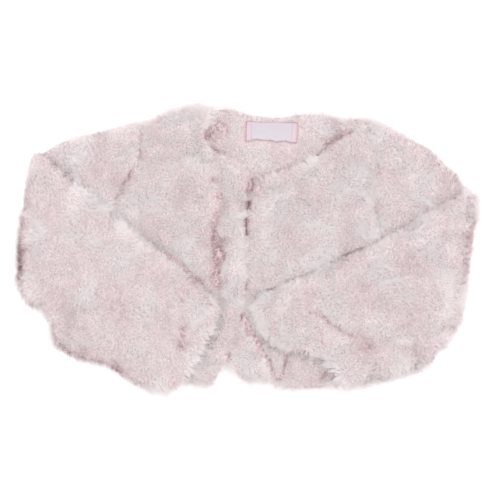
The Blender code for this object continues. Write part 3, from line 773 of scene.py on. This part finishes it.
NX, NY = 67, 27
label_x, label_y, label_plan, label_z = label_grid(NX, NY)
label, label_verts, label_faces = shell(
    "label_satin", lifted(label_plan, label_z + 0.35), lifted(label_plan, label_z), False, label_material()
)
layer = label.data.uv_layers.new(name="across_label")
uv_of_vert = np.stack([label_x / LABEL_SIZE[0] + 0.5, label_y / LABEL_SIZE[1] + 0.5], -1).reshape(-1, 2)
corner_verts = np.empty(len(label.data.loops), np.int32)
label.data.loops.foreach_get("vertex_index", corner_verts)
layer.data.foreach_set("uv", uv_of_vert[corner_verts % (NX * NY)].astype(np.float32).ravel())


def thread_stitches(name, places, directions, length, radius, material):
    """Short arched threads, each a bent six-sided bar."""
    verts, faces = [], []
    for (x, y, z), d in zip(places, directions):
        d = np.array((d[0], d[1], 0.0))
        side = np.array((-d[1], d[0], 0.0))
        first = len(verts)
        for t in np.linspace(-0.5, 0.5, 6):
            mid = np.array((x, y, z)) + d * t * length + np.array((0, 0, 0.32 * (1 - (2 * t) ** 2) - 0.12))
            for a in np.arange(6) * math.pi / 3:
                verts.append(mid + radius * (side * math.cos(a) + np.array((0, 0, 1)) * math.sin(a)))
        for j in range(5):
            for i in range(6):
                a, b = first + 6 * j + i, first + 6 * j + (i + 1) % 6
                faces.append((a, b, b + 6, a + 6))
        for base, order in ((first, (5, 4, 3, 2, 1, 0)), (first + 30, (0, 1, 2, 3, 4, 5))):
            faces.append((base + order[0], base + order[1], base + order[2], base + order[3]))
            faces.append((base + order[0], base + order[3], base + order[4], base + order[5]))
    me = plain_mesh(name, np.array(verts), np.array(faces))
    me.shade_smooth()
    me.materials.append(material)
    obj = bpy.data.objects.new(name, me)
    bpy.context.scene.collection.objects.link(obj)
    return obj


def thread_material():
    m, nt, shader = new_material("sewing_thread")
    where = nt.nodes.new("ShaderNodeTexCoord").outputs["Object"]
    twist = nt.nodes.new("ShaderNodeTexWave")
    twist.inputs["Scale"].default_value = 900
    nt.links.new(where, twist.inputs["Vector"])
    nt.links.new(ramp_node(nt, twist.outputs["Fac"], ((0, linear(214, 184, 196)), (1, linear(234, 214, 222)))), shader.inputs["Base Color"])
    rough = nt.nodes.new("ShaderNodeMapRange")
    rough.inputs["To Min"].default_value, rough.inputs["To Max"].default_value = 0.5, 0.7
    nt.links.new(twist.outputs["Fac"], rough.inputs["Value"])
    nt.links.new(rough.outputs["Result"], shader.inputs["Roughness"])
    return m


stitch_places, stitch_ways = [], []
for end in (-1, 1):
    for k in range(9):
        x, y = end * (LABEL_SIZE[0] / 2 - 1.3), (k - 4) * 1.75
        place = LABEL_AT + x * tilt_x + y * tilt_y
        nearest = np.argmin(((label_plan - place) ** 2).sum(-1))
        stitch_places.append((*(place - CENTRE), label_z.ravel()[nearest] + 0.45))
        stitch_ways.append(tilt_y)
stitches = thread_stitches("label_stitches", stitch_places, stitch_ways, 1.35, 0.16, thread_material())


# ---- pile ----

# White and deep pink places, besides the random ones: x, y, reach, how much whiter (or pinker).
TONE_PLACES = (
    (-190, 40, 14, 0.12), (-192, 0, 14, 0.1), (-186, 74, 12, 0.12),
    # The whiter spots at (-130, 40) and (-104, 22), beside the forearm's upper edge, are painted light that lifts the
    # shade at that step.
    (-130, 40, 9, 0.16), (-104, 22, 9, 0.2), (-150, 10, 16, 0.1), (-120, 8, 16, 0.1),
    (-150, -45, 26, -0.10), (-110, -50, 24, -0.10), (-75, 20, 22, -0.10), (-70, 60, 20, -0.08),
    (-18, 30, 9, 0.2), (-19, -10, 9, 0.2), (-14, 60, 9, 0.12), (118, 80, 9, 0.24), (117, 50, 9, 0.22),
    (150, 40, 14, 0.14), (185, 40, 12, 0.1), (120, 20, 12, 0.1), (60, -15, 12, 0.14), (20, -40, 12, 0.16),
    (130, -50, 24, -0.1), (95, -60, 16, -0.1), (45, 45, 20, -0.06), (85, 70, 20, 0.06),
    # The small deep-pink spots in the neck corners, at (67, 93) and (-33, 102), are painted shade in those recesses.
    (-127, 73, 11, -0.16), (-118, 62, 5, -0.12), (67, 93, 4, -0.3), (-33, 102, 8, -0.14),
)
# Pinker, darker lines where the pile parts along creases and gaps: a line in plan, how much and half width. The
# shorter pile there is real; the deeper tone is partly the pink roots showing and partly painted shade in the
# creases.
PARTINGS_AND_SHADE = (
    (((-95, 103), (-95, 84), (-99, 74), (-104, 64)), 0.45, 2.4),
    (((-104, 64), (-114, 48), (-118, 38)), 0.2, 4.0),
    (((-29, 60), (-28, 40), (-28, 22), (-28, -8), (-29, -28)), 0.7, 7.0),
    (((-38, 98), (-34, 105), (-28, 108), (-20, 103)), 0.6, 4.0),
    (((-38, 90), (-24, 84)), 0.3, 2.4),
    (((0.5, 59), (-0.5, 53)), 1.2, 3.2),
    (((-1.2, 42), (-1.8, 36)), 1.4, 2.8),
    (((-3.4, 27), (-3.8, 15)), 2.0, 3.0),
    (((-3, 8), (-2.8, -14), (-4, -38)), 1.2, 1.6),
    (((87, 103), (80, 97), (72, 94), (69, 92)), 0.75, 2.8),
    (((68, 92), (64, 86), (47, 76), (26, 69)), 0.75, 2.0),
    (((58, 100), (63, 96), (68, 91)), 0.5, 2.6),
    (((109, 84), (107, 60), (109, 36)), 0.2, 3.0),
    (((-57, -44), (-57, -62), (-58, -82)), 0.35, 4.5),
    (((54, -54), (63, -59), (70, -64), (73, -66), (80, -71), (88, -73)), 0.55, 3.0),
    (((84, -68), (94, -76), (104, -84)), 0.2, 7.0),
    (((-7, -59), (-3, -64), (4, -77), (12, -91), (17, -102), (20, -108)), 2.0, 2.5),
    (((-18, -91), (-19, -97)), 1.6, 2.6),
    (((31, -92), (30, -102), (27, -112)), 0.9, 2.0),
    (((18, -108), (26, -114)), 0.5, 3.2),
    (((60, -113), (66, -106)), 0.4, 3.0),
)
# Where a forearm's edge lies over the cloth below, the pile below parts by turns and its tone is darkened there as
# painted shade under the edge: edge, how much, half width.
SHADED_EDGES = (
    (((-118, 30), (-91, 10), (-72, -6)), 0.25, 1.8),
    (((-72, -6), (-60, -16), (-50, -25), (-38, -38)), 1.5, 3.8),
    (((186, 46), (168, 37), (139, 22), (109, 7)), 1.4, 2.9),
    (((109, 6), (84, -5), (51, -21), (34, -28), (19, -34), (1, -44)), 1.3, 2.4),
    (((30, -86), (50, -90), (70, -94)), 0.5, 2.0),
    (((-33, -72), (-43, -89), (-51, -103), (-58, -115)), 1.2, 2.2),
)
# Where longer and whiter pile bridges the step at an edge: a line in plan, how much and half width. The longer pile
# is real; the whiter tone is partly the pile's own white wisps and partly painted light that lifts the shade at the
# step.
BRIDGED_AND_LIT = (
    (((-9, 48), (2, 47)), 0.8, 2.6),
    (((-11, 31), (1, 30)), 0.8, 2.2),
    (((-158, 80), (-150, 60), (-138, 46), (-120, 31)), 1.0, 5.5),
    (((-120, 31), (-93, 10), (-80, 0)), 0.6, 4.0),
    (((-34, 120), (-37, 113), (-38, 107)), 0.8, 3.5),
    (((-36, -42), (-28, -50), (-30, -62), (-34, -72)), 0.8, 5.0),
    (((-34, -76), (-43, -92), (-57, -117)), 0.7, 4.5),
    (((1, -46), (7, -60), (11, -70), (19, -79)), 0.7, 5.0),
    (((20, -80), (34, -86), (50, -90), (64, -93), (73, -99), (78, -108)), 0.6, 4.5),
    (((188, 46), (154, 29), (130, 16)), 0.2, 4.0),
    (((130, 16), (109, 6), (84, -5), (51, -21), (19, -34), (1, -44)), 0.35, 3.5),
    (((-8, -22), (-10, -52), (-15, -70)), 0.2, 5.0),
)
# Where the pile is only longer: a line in plan, how much and half width.
LONGER = (
    (((-78, 118), (-64, 121), (-48, 124), (-32, 124), (-14, 123)), 1.2, 5.0),
    (((-14, 123), (0, 118), (25, 115), (42, 116)), 1.3, 5.0),
    (((42, 116), (60, 118), (83, 112), (110, 110)), 0.7, 5.0),
    (((150, 90), (175, 70), (186, 62)), 0.6, 5.0),
    (((182, 66), (196, 52), (199, 44)), 1.6, 6.0),
    (((196, 50), (193, 17), (190, -7), (186, -35), (181, -60)), 0.75, 5.0),
    (((148, -105), (158, -98), (166, -92)), 1.5, 6.0),
    (((-186, -56), (-175, -66), (-172, -76), (-168, -84)), 0.9, 4.0),
    (((-200, -12), (-200, -30)), 0.4, 5.0),
    (((-112, -112), (-92, -120), (-80, -124), (-70, -122)), 0.45, 4.0),
    (((-46, -118), (-34, -119), (-27, -108)), 0.7, 3.5),
    (((2, -116), (10, -115), (29, -121), (60, -121), (90, -119), (110, -113)), 0.65, 4.5),
)
# Where it is shorter.
SHORTER = (
    (((-22, -92), (-18, -97), (-11, -106)), 0.4, 5.0),
    (((-52, -117), (-44, -118)), 0.2, 5.0),
    (((-125, -99), (-112, -107)), 0.3, 5.0),
    (((-116, 105), (-100, 110)), 0.15, 6.0),
    (((-178, 88), (-158, 95)), 0.45, 6.0),
    (((-190, 82), (-196, 50), (-200, 20)), 0.4, 6.0),
    (((-196, -38), (-193, -44)), 0.2, 6.0),
    (((128, 103), (150, 91)), 0.1, 5.0),
    (((166, 80), (172, 74)), 0.3, 5.0),
    (((172, -84), (178, -76)), 0.4, 5.0),
)
# Rims that turn from the light and look deeper: a line in plan, how much and half width.
RIMS = (
    (((-196, 74), (-198, 20), (-200, -14), (-195, -40), (-176, -62)), 0.95, 6.5),
    (((-176, -62), (-172, -76), (-160, -86), (-140, -95), (-116, -104)), 0.6, 6.0),
    (((192, 40), (190, 10), (186, -30)), 0.25, 4.0),
)
PILE_BOX = np.array(((-203.8, -127.8, 0.35), (203.8, 127.8, 29.5)))  # the pile's reach, in the row's frame

# Blades of each stretch: short curled ones, long fine ones among them, and wisps of long white ones on top.
BLADES = {
    "fore_right": (37000, 12500, 140), "upper_right": (12000, 4200, 45), "fore_left": (35500, 12000, 150),
    "upper_left": (12000, 4200, 40), "front_right": (34500, 11500, 100), "front_left": (37500, 12500, 120),
    "back": (9500, 3000, 30),
}
WISP = 14  # blades in a wisp
GRID_DIRECTIONS = [(0.0, 0.0)] + [(40.0, a) for a in (20, 110, 200, 290)] + [(72.0, a) for a in (65, 155, 245, 335)]


def normals_of(grid, wrap):
    if wrap:
        across = np.roll(grid, -1, 1) - np.roll(grid, 1, 1)
    else:
        across = np.gradient(grid, axis=1)
    n = np.cross(across, np.gradient(grid, axis=0))
    return n / np.maximum(np.linalg.norm(n, axis=-1, keepdims=True), 1e-9)


def exposure(grid, normals):
    """How much of the space above each point is open, 0 to 1."""
    rays = []
    for tilt, turn in GRID_DIRECTIONS:
        t, a = math.radians(tilt), math.radians(turn)
        rays.append((math.sin(t) * math.cos(a), math.sin(t) * math.sin(a), math.cos(t)))
    flat, n = grid.reshape(-1, 3), normals.reshape(-1, 3)
    start = (flat + 0.7 * n).tolist()
    out = np.zeros(len(flat))
    facing = n @ np.array(rays).T > -0.15
    for k, ray in enumerate(rays):
        way = Vector(ray)
        share = 1.0 if k == 0 else 0.5
        for i in np.nonzero(facing[:, k])[0]:
            if cover.ray_cast(start[i], way, 60)[0] is None:
                out[i] += share
    return (out / 5.0).reshape(grid.shape[:2])


def edge_pull(grid, wrap, sides):
    """Vector field that points off the free edges, from full at an edge to nothing 9 mm inside it."""
    field = np.zeros_like(grid)
    runs = [(0, sides[0], sides[1])] + ([] if wrap else [(1, sides[2], sides[3])])
    for axis, at_first, at_last in runs:
        g = np.moveaxis(grid, axis, 0)
        step = np.linalg.norm(np.diff(g, axis=0), axis=-1)
        along = np.concatenate([np.zeros((1,) + step.shape[1:]), np.cumsum(step, 0)])
        for end, amount in ((0, at_first), (-1, at_last)):
            if not amount:
                continue
            inner = 3 if end == 0 else -4
            out = g[end] - g[inner]
            out = out / np.maximum(np.linalg.norm(out, axis=-1, keepdims=True), 1e-9)
            d = along if end == 0 else along[-1] - along
            pull = amount * (1 - ramp(d, 0, 9))[..., None] * out[None]
            field += np.moveaxis(pull, 0, axis)
    return field


def sample(grid, normals, open_share, pull, wrap, n, g):
    """n random places on a grid, denser where it is open: points, normals, pull and the open area."""
    if wrap:
        grid, normals, pull = (np.concatenate([a, a[:, :1]], 1) for a in (grid, normals, pull))
        open_share = np.concatenate([open_share, open_share[:, :1]], 1)
    a, b, c, d = grid[:-1, :-1], grid[:-1, 1:], grid[1:, 1:], grid[1:, :-1]
    area = 0.5 * (np.linalg.norm(np.cross(b - a, d - a), axis=-1) + np.linalg.norm(np.cross(b - c, d - c), axis=-1))
    o = (open_share[:-1, :-1] + open_share[:-1, 1:] + open_share[1:, 1:] + open_share[1:, :-1]) / 4
    weight = (area * ramp(o, 0.0, 0.2)).ravel()
    cell = g.choice(len(weight), n, p=weight / weight.sum())
    j, i = np.divmod(cell, area.shape[1])
    s, t = g.uniform(0, 1, (2, n))

    def at(field):
        w = (1 - s, s, s, 1 - s), (1 - t, 1 - t, t, t)
        corners = field[j, i], field[j, i + 1], field[j + 1, i + 1], field[j + 1, i]
        return sum((ws * wt)[:, None] * value.reshape(n, -1) for ws, wt, value in zip(*w, corners))

    return at(grid), unit(at(normals)), at(pull), weight.sum()


def unit(v):
    return v / np.maximum(np.linalg.norm(v, axis=-1, keepdims=True), 1e-9)


def whiteness(plan):
    """Tone of the pile, 0 deep pink to 1 white."""
    tone = 0.58 + 0.115 * lumps(plan, 17, 31) + 0.035 * lumps(plan, 7, 32)
    for x, y, reach, more in TONE_PLACES:
        tone = tone + more * bell(np.hypot(plan[:, 0] - x, plan[:, 1] - y), reach)
    return np.maximum(tone, 0.4 + 0.3 * (tone - 0.4))


def along_lines(plan, table):
    """The strongest line at each place: 0 to how much, and 0 beyond their half widths."""
    amount = np.zeros(len(plan))
    for rows, much, half in table:
        amount = np.maximum(amount, much * bell(distance(plan, smooth_line(rows, even(20))), half))
    return amount


def parted_and_shaded(plan, lower_layer):
    """How far the pile parts, 0 to 1, along the creases and beside the forearms' edges. The same amount also deepens
    the tone there, partly as painted shade.
    """
    amount = along_lines(plan, PARTINGS_AND_SHADE) * (1 + 0.25 * lumps(plan, 7, 71))
    if lower_layer:
        by_turns = np.clip(0.75 + 0.55 * lumps(plan, 6, 72), 0.1, 1.15)
        amount = np.maximum(amount, along_lines(plan, SHADED_EDGES) * by_turns)
    return np.clip(amount, 0, 1)


# For each kind of blade: segments, length and how much more of it where white, blades in a lock, gather, turn from
# lock to lock, lean of root and tip in degrees, widths at the joints, width, and how much whiter.
KINDS = (
    {"segments": 2, "length": (3.2, 0.8), "lock": 4, "gather": 0.15, "turn": 1.5, "lean": (12, 72), "taper": (1.0, 0.9), "width": 0.46, "white": -0.03},
    {"segments": 3, "length": (4.7, 2.0), "lock": 6, "gather": 0.4, "turn": 0.9, "lean": (16, 62), "taper": (1.0, 0.95, 0.7), "width": 0.32, "white": 0.06},
    {"segments": 4, "length": (6.4, 0.8), "lock": WISP, "gather": 0.1, "turn": 0.5, "lean": (36, 74), "taper": (1.0, 1.0, 0.85, 0.6), "width": 0.17, "white": 0.05},
)


def blades_on(name, places, seed, kind):
    """Tapered blades in locks: points, normals, triangles and map."""
    root, normal, pull, _ = places
    g = np.random.default_rng(seed)
    look = KINDS[kind]
    if kind == 2:
        # The centres of wisps, mostly where the pile is white or bridges an edge.
        centre_plan = root[:, :2] + CENTRE
        chance = ramp(whiteness(centre_plan), 0.5, 0.75) + 0.8 * along_lines(centre_plan, BRIDGED_AND_LIT)
        chance = (chance + 0.12) * (1 - parted_and_shaded(centre_plan, not name.startswith("fore")))
        order = np.argsort(-chance * g.uniform(0.2, 1, len(root)))[: len(root) // 3]
        root, normal, pull = (np.repeat(v[order], WISP, axis=0) for v in (root, normal, pull))
        nearest = np.repeat(np.arange(len(order)), WISP)
        locks = len(order)
        off = g.normal(0, 1.5, root.shape)
        off -= (off * normal).sum(1, keepdims=True) * normal
        root = root + off
    else:
        # Locks: every blade leans and curls with the nearest lock's middle.
        locks = max(60, len(root) // look["lock"])
        centres = root[:locks]
        tree = KDTree(locks)
        for k, co in enumerate(centres.tolist()):
            tree.insert(co, k)
        tree.balance()
        nearest = np.fromiter((tree.find(co)[1] for co in root.tolist()), np.int64, len(root))
        off = root - centres[nearest]
    n = len(root)
    plan = root[:, :2] + CENTRE
    lock_turn = g.uniform(-1, 1, locks)[nearest]
    lock_tone = g.normal(0, 0.04, locks)[nearest]
    lock_size = g.uniform(0.82, 1.18, locks)[nearest]
    lock_hand = np.where(g.uniform(0, 1, locks) < 0.5, -1.0, 1.0)[nearest]

    bridge_and_lit = along_lines(plan, BRIDGED_AND_LIT)
    part = parted_and_shaded(plan, not name.startswith("fore"))
    place_tone = whiteness(plan)
    frosted = ramp(place_tone, 0.45, 0.75)
    edge = np.linalg.norm(pull, axis=1)
    side = np.linalg.norm(normal[:, :2], axis=1)
    rim = np.clip(np.maximum(edge, 1.3 * side - 0.3), 0, 1)
    # The tone carries painted shade and light: deeper, partly as painted shade, along the partings and beside the
    # forearms' edges; painted shade along the RIMS lines and by 0.1 at every rim; whiter, partly as painted light,
    # where the pile bridges a step.
    tone = place_tone + (lock_tone + g.normal(0, 0.05, n)) * (1 + 0.8 * rim) + look["white"] + 0.18 * bridge_and_lit - 0.75 * part - 0.55 * along_lines(plan, RIMS) - 0.1 * rim
    tone = np.clip(tone, 0.02, 0.98)

    # Lie of the pile: a slow field over the cloth, turned from lock to lock, and off the free edges.
    way = 2.4 * lumps(plan, 28, 50) + look["turn"] * lock_turn * (1 - 0.55 * frosted) + g.normal(0, 0.3, n) * (1 + 1.5 * rim)
    lie = np.stack([np.cos(way), np.sin(way), np.zeros(n)], 1)
    lie = lie * (1 - 0.45 * np.clip(edge, 0, 1))[:, None] + 1.5 * pull
    lie[:, :2] += 0.6 * normal[:, :2]
    lie = unit(lie - (lie * normal).sum(1, keepdims=True) * normal)
    other = np.cross(normal, lie)

    length = (look["length"][0] + look["length"][1] * frosted) * lock_size * g.uniform(0.75, 1.2, n)
    length *= (1 - 0.72 * part) * (1 + 0.5 * bridge_and_lit + along_lines(plan, LONGER)) * (1 - along_lines(plan, SHORTER))
    length *= 1 + 0.5 * np.clip(edge + side - 0.2, 0, 1)
    if name == "back":
        along, up = in_label(plan)
        by_label = np.maximum(np.abs(along) - LABEL_SIZE[0] / 2, np.abs(up) - LABEL_SIZE[1] / 2)
        length *= np.where((root[:, 2] < 10) & (by_label < 5), 0.65, 1)

    k = look["segments"]
    steps = np.linspace(0, 1, k + 1)
    start_lean = np.radians(look["lean"][0] + g.uniform(-8, 12, n) + 14 * np.clip(edge, 0, 1))
    end_lean = np.radians(look["lean"][1] + g.uniform(-12, 18, n))
    curled = (1 - 0.85 * frosted) * (0.15 if kind == 2 else 1)
    curl = curled * g.uniform(0.8, 3.6, n) * lock_hand + g.normal(0, 0.25, n)
    point = root - 0.5 * normal
    rows, dirs = [point], []
    for s in range(k):
        t = (s + 0.5) / k
        lean = start_lean + (end_lean - start_lean) * t
        turn = curl * (t - 0.2)
        flat = lie * np.cos(turn)[:, None] + other * np.sin(turn)[:, None]
        way3 = normal * np.cos(lean)[:, None] + flat * np.sin(lean)[:, None]
        dirs.append(way3)
        point = point + way3 * (length / k)[:, None]
        rows.append(point - off * look["gather"] * steps[s + 1])
    rows = np.array(rows)

    # No blade goes through the floor or past the pile's reach.
    low, high = PILE_BOX
    over = np.maximum(rows - high, 0) + np.minimum(rows - low, 0)
    over[..., 2] = 0
    rows = rows - over * np.linspace(0.6, 1, k + 1)[:, None, None]
    rows[..., 2] = np.clip(rows[..., 2], low[2], high[2])

    keep = np.ones(n, bool)
    if name == "back":
        gx, gy = in_label(rows[..., :2] + CENTRE)
        keep = ~((np.abs(gx) < LABEL_SIZE[0] / 2 - 0.2) & (np.abs(gy) < LABEL_SIZE[1] / 2 - 0.2)).any(0)

    width = look["width"] * g.uniform(0.85, 1.2, n) * (1 - 0.35 * rim)
    lit, shaded = unit(normal + (0, 0, 1.0)), unit(normal + (0, 0, 0.8))
    sway = unit(lit + g.normal(0, 0.35, (n, 3)))
    wide = [unit(np.cross(d, sway)) for d in dirs]
    verts, norms, us, vs = [], [], [], []
    for s in range(k):
        w = wide[s] * (0.5 * width * look["taper"][s])[:, None]
        face = np.cross(wide[s], dirs[s])
        face *= np.sign((face * lit).sum(1, keepdims=True) + 1e-9)
        for hand in (-1, 1):
            verts.append(rows[s] + hand * w)
            norms.append(unit(0.9 * shaded + 0.1 * face + 0.1 * hand * wide[s]))
            us.append(tone + hand * 0.004)
            vs.append(np.full(n, 0.02 + 0.96 * steps[s]))
    verts.append(rows[k])
    norms.append(unit(0.9 * shaded + 0.1 * dirs[-1]))
    us.append(tone)
    vs.append(np.full(n, 0.98))
    verts, norms = (np.array(a)[:, keep].transpose(1, 0, 2).reshape(-1, 3) for a in (verts, norms))
    uv = np.stack([np.array(us)[:, keep].T, np.array(vs)[:, keep].T], -1).reshape(-1, 2)

    pattern = []
    for s in range(k - 1):
        a = 2 * s
        pattern += [(a, a + 1, a + 3), (a, a + 3, a + 2)]
    pattern = np.array(pattern + [(2 * k - 2, 2 * k - 1, 2 * k)])
    count = int(keep.sum())
    faces = (np.arange(count)[:, None, None] * (2 * k + 1) + pattern[None]).reshape(-1, 3)
    # Blades face out of the cloth.
    a, b, c = (verts[faces[:, q]] for q in range(3))
    outward = (np.cross(b - a, c - a) * norms[faces[:, 0]]).sum(1)
    flip = np.repeat(outward.reshape(count, -1).sum(1) < 0, len(pattern))
    faces[flip] = faces[flip][:, ::-1]
    return verts, norms, faces, uv


def pile(name, parts):
    """One mesh of all kinds of blade, and its object."""
    first = np.cumsum([0] + [len(part[0]) for part in parts])
    faces = np.vstack([part[2] + start for part, start in zip(parts, first)])
    verts, norms, uv = (np.vstack([part[k] for part in parts]) for k in (0, 1, 3))
    me = plain_mesh(name, verts, faces)
    me.shade_smooth()
    layer = me.uv_layers.new(name=PILE_MAP)
    layer.data.foreach_set("uv", uv[faces.ravel()].astype(np.float32).ravel())
    me.normals_split_custom_set_from_vertices(norms.astype(np.float32))
    me.materials.append(blades)
    obj = bpy.data.objects.new("pile_" + name, me)
    bpy.context.scene.collection.objects.link(obj)
    return obj


share = 1.0
piles = {name: [] for name in surfaces}
# Free edges of each grid: first row, last row, first column, last column.
EDGE_SIDES = {
    "back": (1, 0.6, 0.2, 0.2), "front_right": (0.9, 0.6, 1, 0.25), "front_left": (0.9, 0.6, 1, 0.25),
    "sleeve_right": (0.25, 0.7, 0, 0), "sleeve_left": (0.25, 0.7, 0, 0),
}
for seed, (name, (grid, wrap)) in enumerate(surfaces.items()):
    normals = normals_of(grid, wrap)
    if not wrap and normals[len(normals) // 2, 20, 2] < 0 or wrap and normals[-20, len(ACROSS) // 2, 2] < 0:
        normals = -normals
    open_share = exposure(grid, normals)
    pull = edge_pull(grid, wrap, EDGE_SIDES[name])
    if wrap:
        turn = len(UPPER_RINGS) + len(FOLD_RINGS) // 2
        side = name.split("_")[1]
        sections = ((f"upper_{side}", slice(0, turn + 1)), (f"fore_{side}", slice(turn, None)))
    else:
        sections = ((name, slice(None)),)
    for section, rows in sections:
        g = np.random.default_rng(100 + seed)
        parts = []
        for kind, n in enumerate(BLADES[section]):
            n = int(n * share) * (3 if kind == 2 else 1)
            places = sample(grid[rows], normals[rows], open_share[rows], pull[rows], wrap, n, g)
            parts.append(blades_on(section, places, 200 + 7 * seed + 3 * kind, kind))
        piles[name].append(pile(section, parts))
        print("pile", section, "open cloth mm2", round(places[-1]), "triangles", len(piles[name][-1].data.polygons))


# ---- attaching the pieces to the root body and hiding the solids they stand for ----

for name, obj in shells.items():
    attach(obj, "root")
    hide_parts(name)
    for tuft in piles[name]:
        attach(tuft, "root")
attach(label, "root")
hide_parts("neck_label")
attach(stitches, "root")

# ---- floor, light and camera ----


def floor_material():
    m, nt, shader = new_material("pale_table")
    where = nt.nodes.new("ShaderNodeTexCoord").outputs["Object"]
    noise = nt.nodes.new("ShaderNodeTexNoise")
    noise.inputs["Scale"].default_value = 3
    nt.links.new(where, noise.inputs["Vector"])
    nt.links.new(ramp_node(nt, noise.outputs["Fac"], ((0, linear(250, 250, 250)), (1, linear(252, 252, 252)))), shader.inputs["Base Color"])
    shader.inputs["Roughness"].default_value = 0.9
    shader.inputs["Specular IOR Level"].default_value = 0.0
    return m


bpy.ops.mesh.primitive_plane_add(size=6, location=(0, 0, -0.0004))
floor = bpy.context.object
floor.name = "floor"
floor.data.materials.append(floor_material())

world = bpy.data.worlds.new("soft_box")
world.use_nodes = True
world.node_tree.nodes["Background"].inputs["Color"].default_value = (1.0, 1.0, 1.0, 1)
world.node_tree.nodes["Background"].inputs["Strength"].default_value = 1.34
bpy.context.scene.world = world

sun = bpy.data.lights.new("large_soft_light", "SUN")
sun.energy = 1.05
sun.angle = math.radians(60)
sun_obj = bpy.data.objects.new("large_soft_light", sun)
sun_obj.rotation_euler = (math.radians(-16), math.radians(21), 0)
bpy.context.scene.collection.objects.link(sun_obj)

camera = bpy.data.cameras.new("camera")
camera.sensor_width = 36
camera.lens = 135
FRAME_WIDTH = 432.5 * MM
reach = FRAME_WIDTH * camera.lens / camera.sensor_width
camera_obj = bpy.data.objects.new("camera", camera)
camera_obj.location = (-CENTRE[0] * MM, -CENTRE[1] * MM, reach + 12 * MM)
bpy.context.scene.collection.objects.link(camera_obj)
bpy.context.scene.camera = camera_obj
bpy.context.scene.view_settings.view_transform = "Standard"
bpy.context.scene.cycles.diffuse_bounces = 8
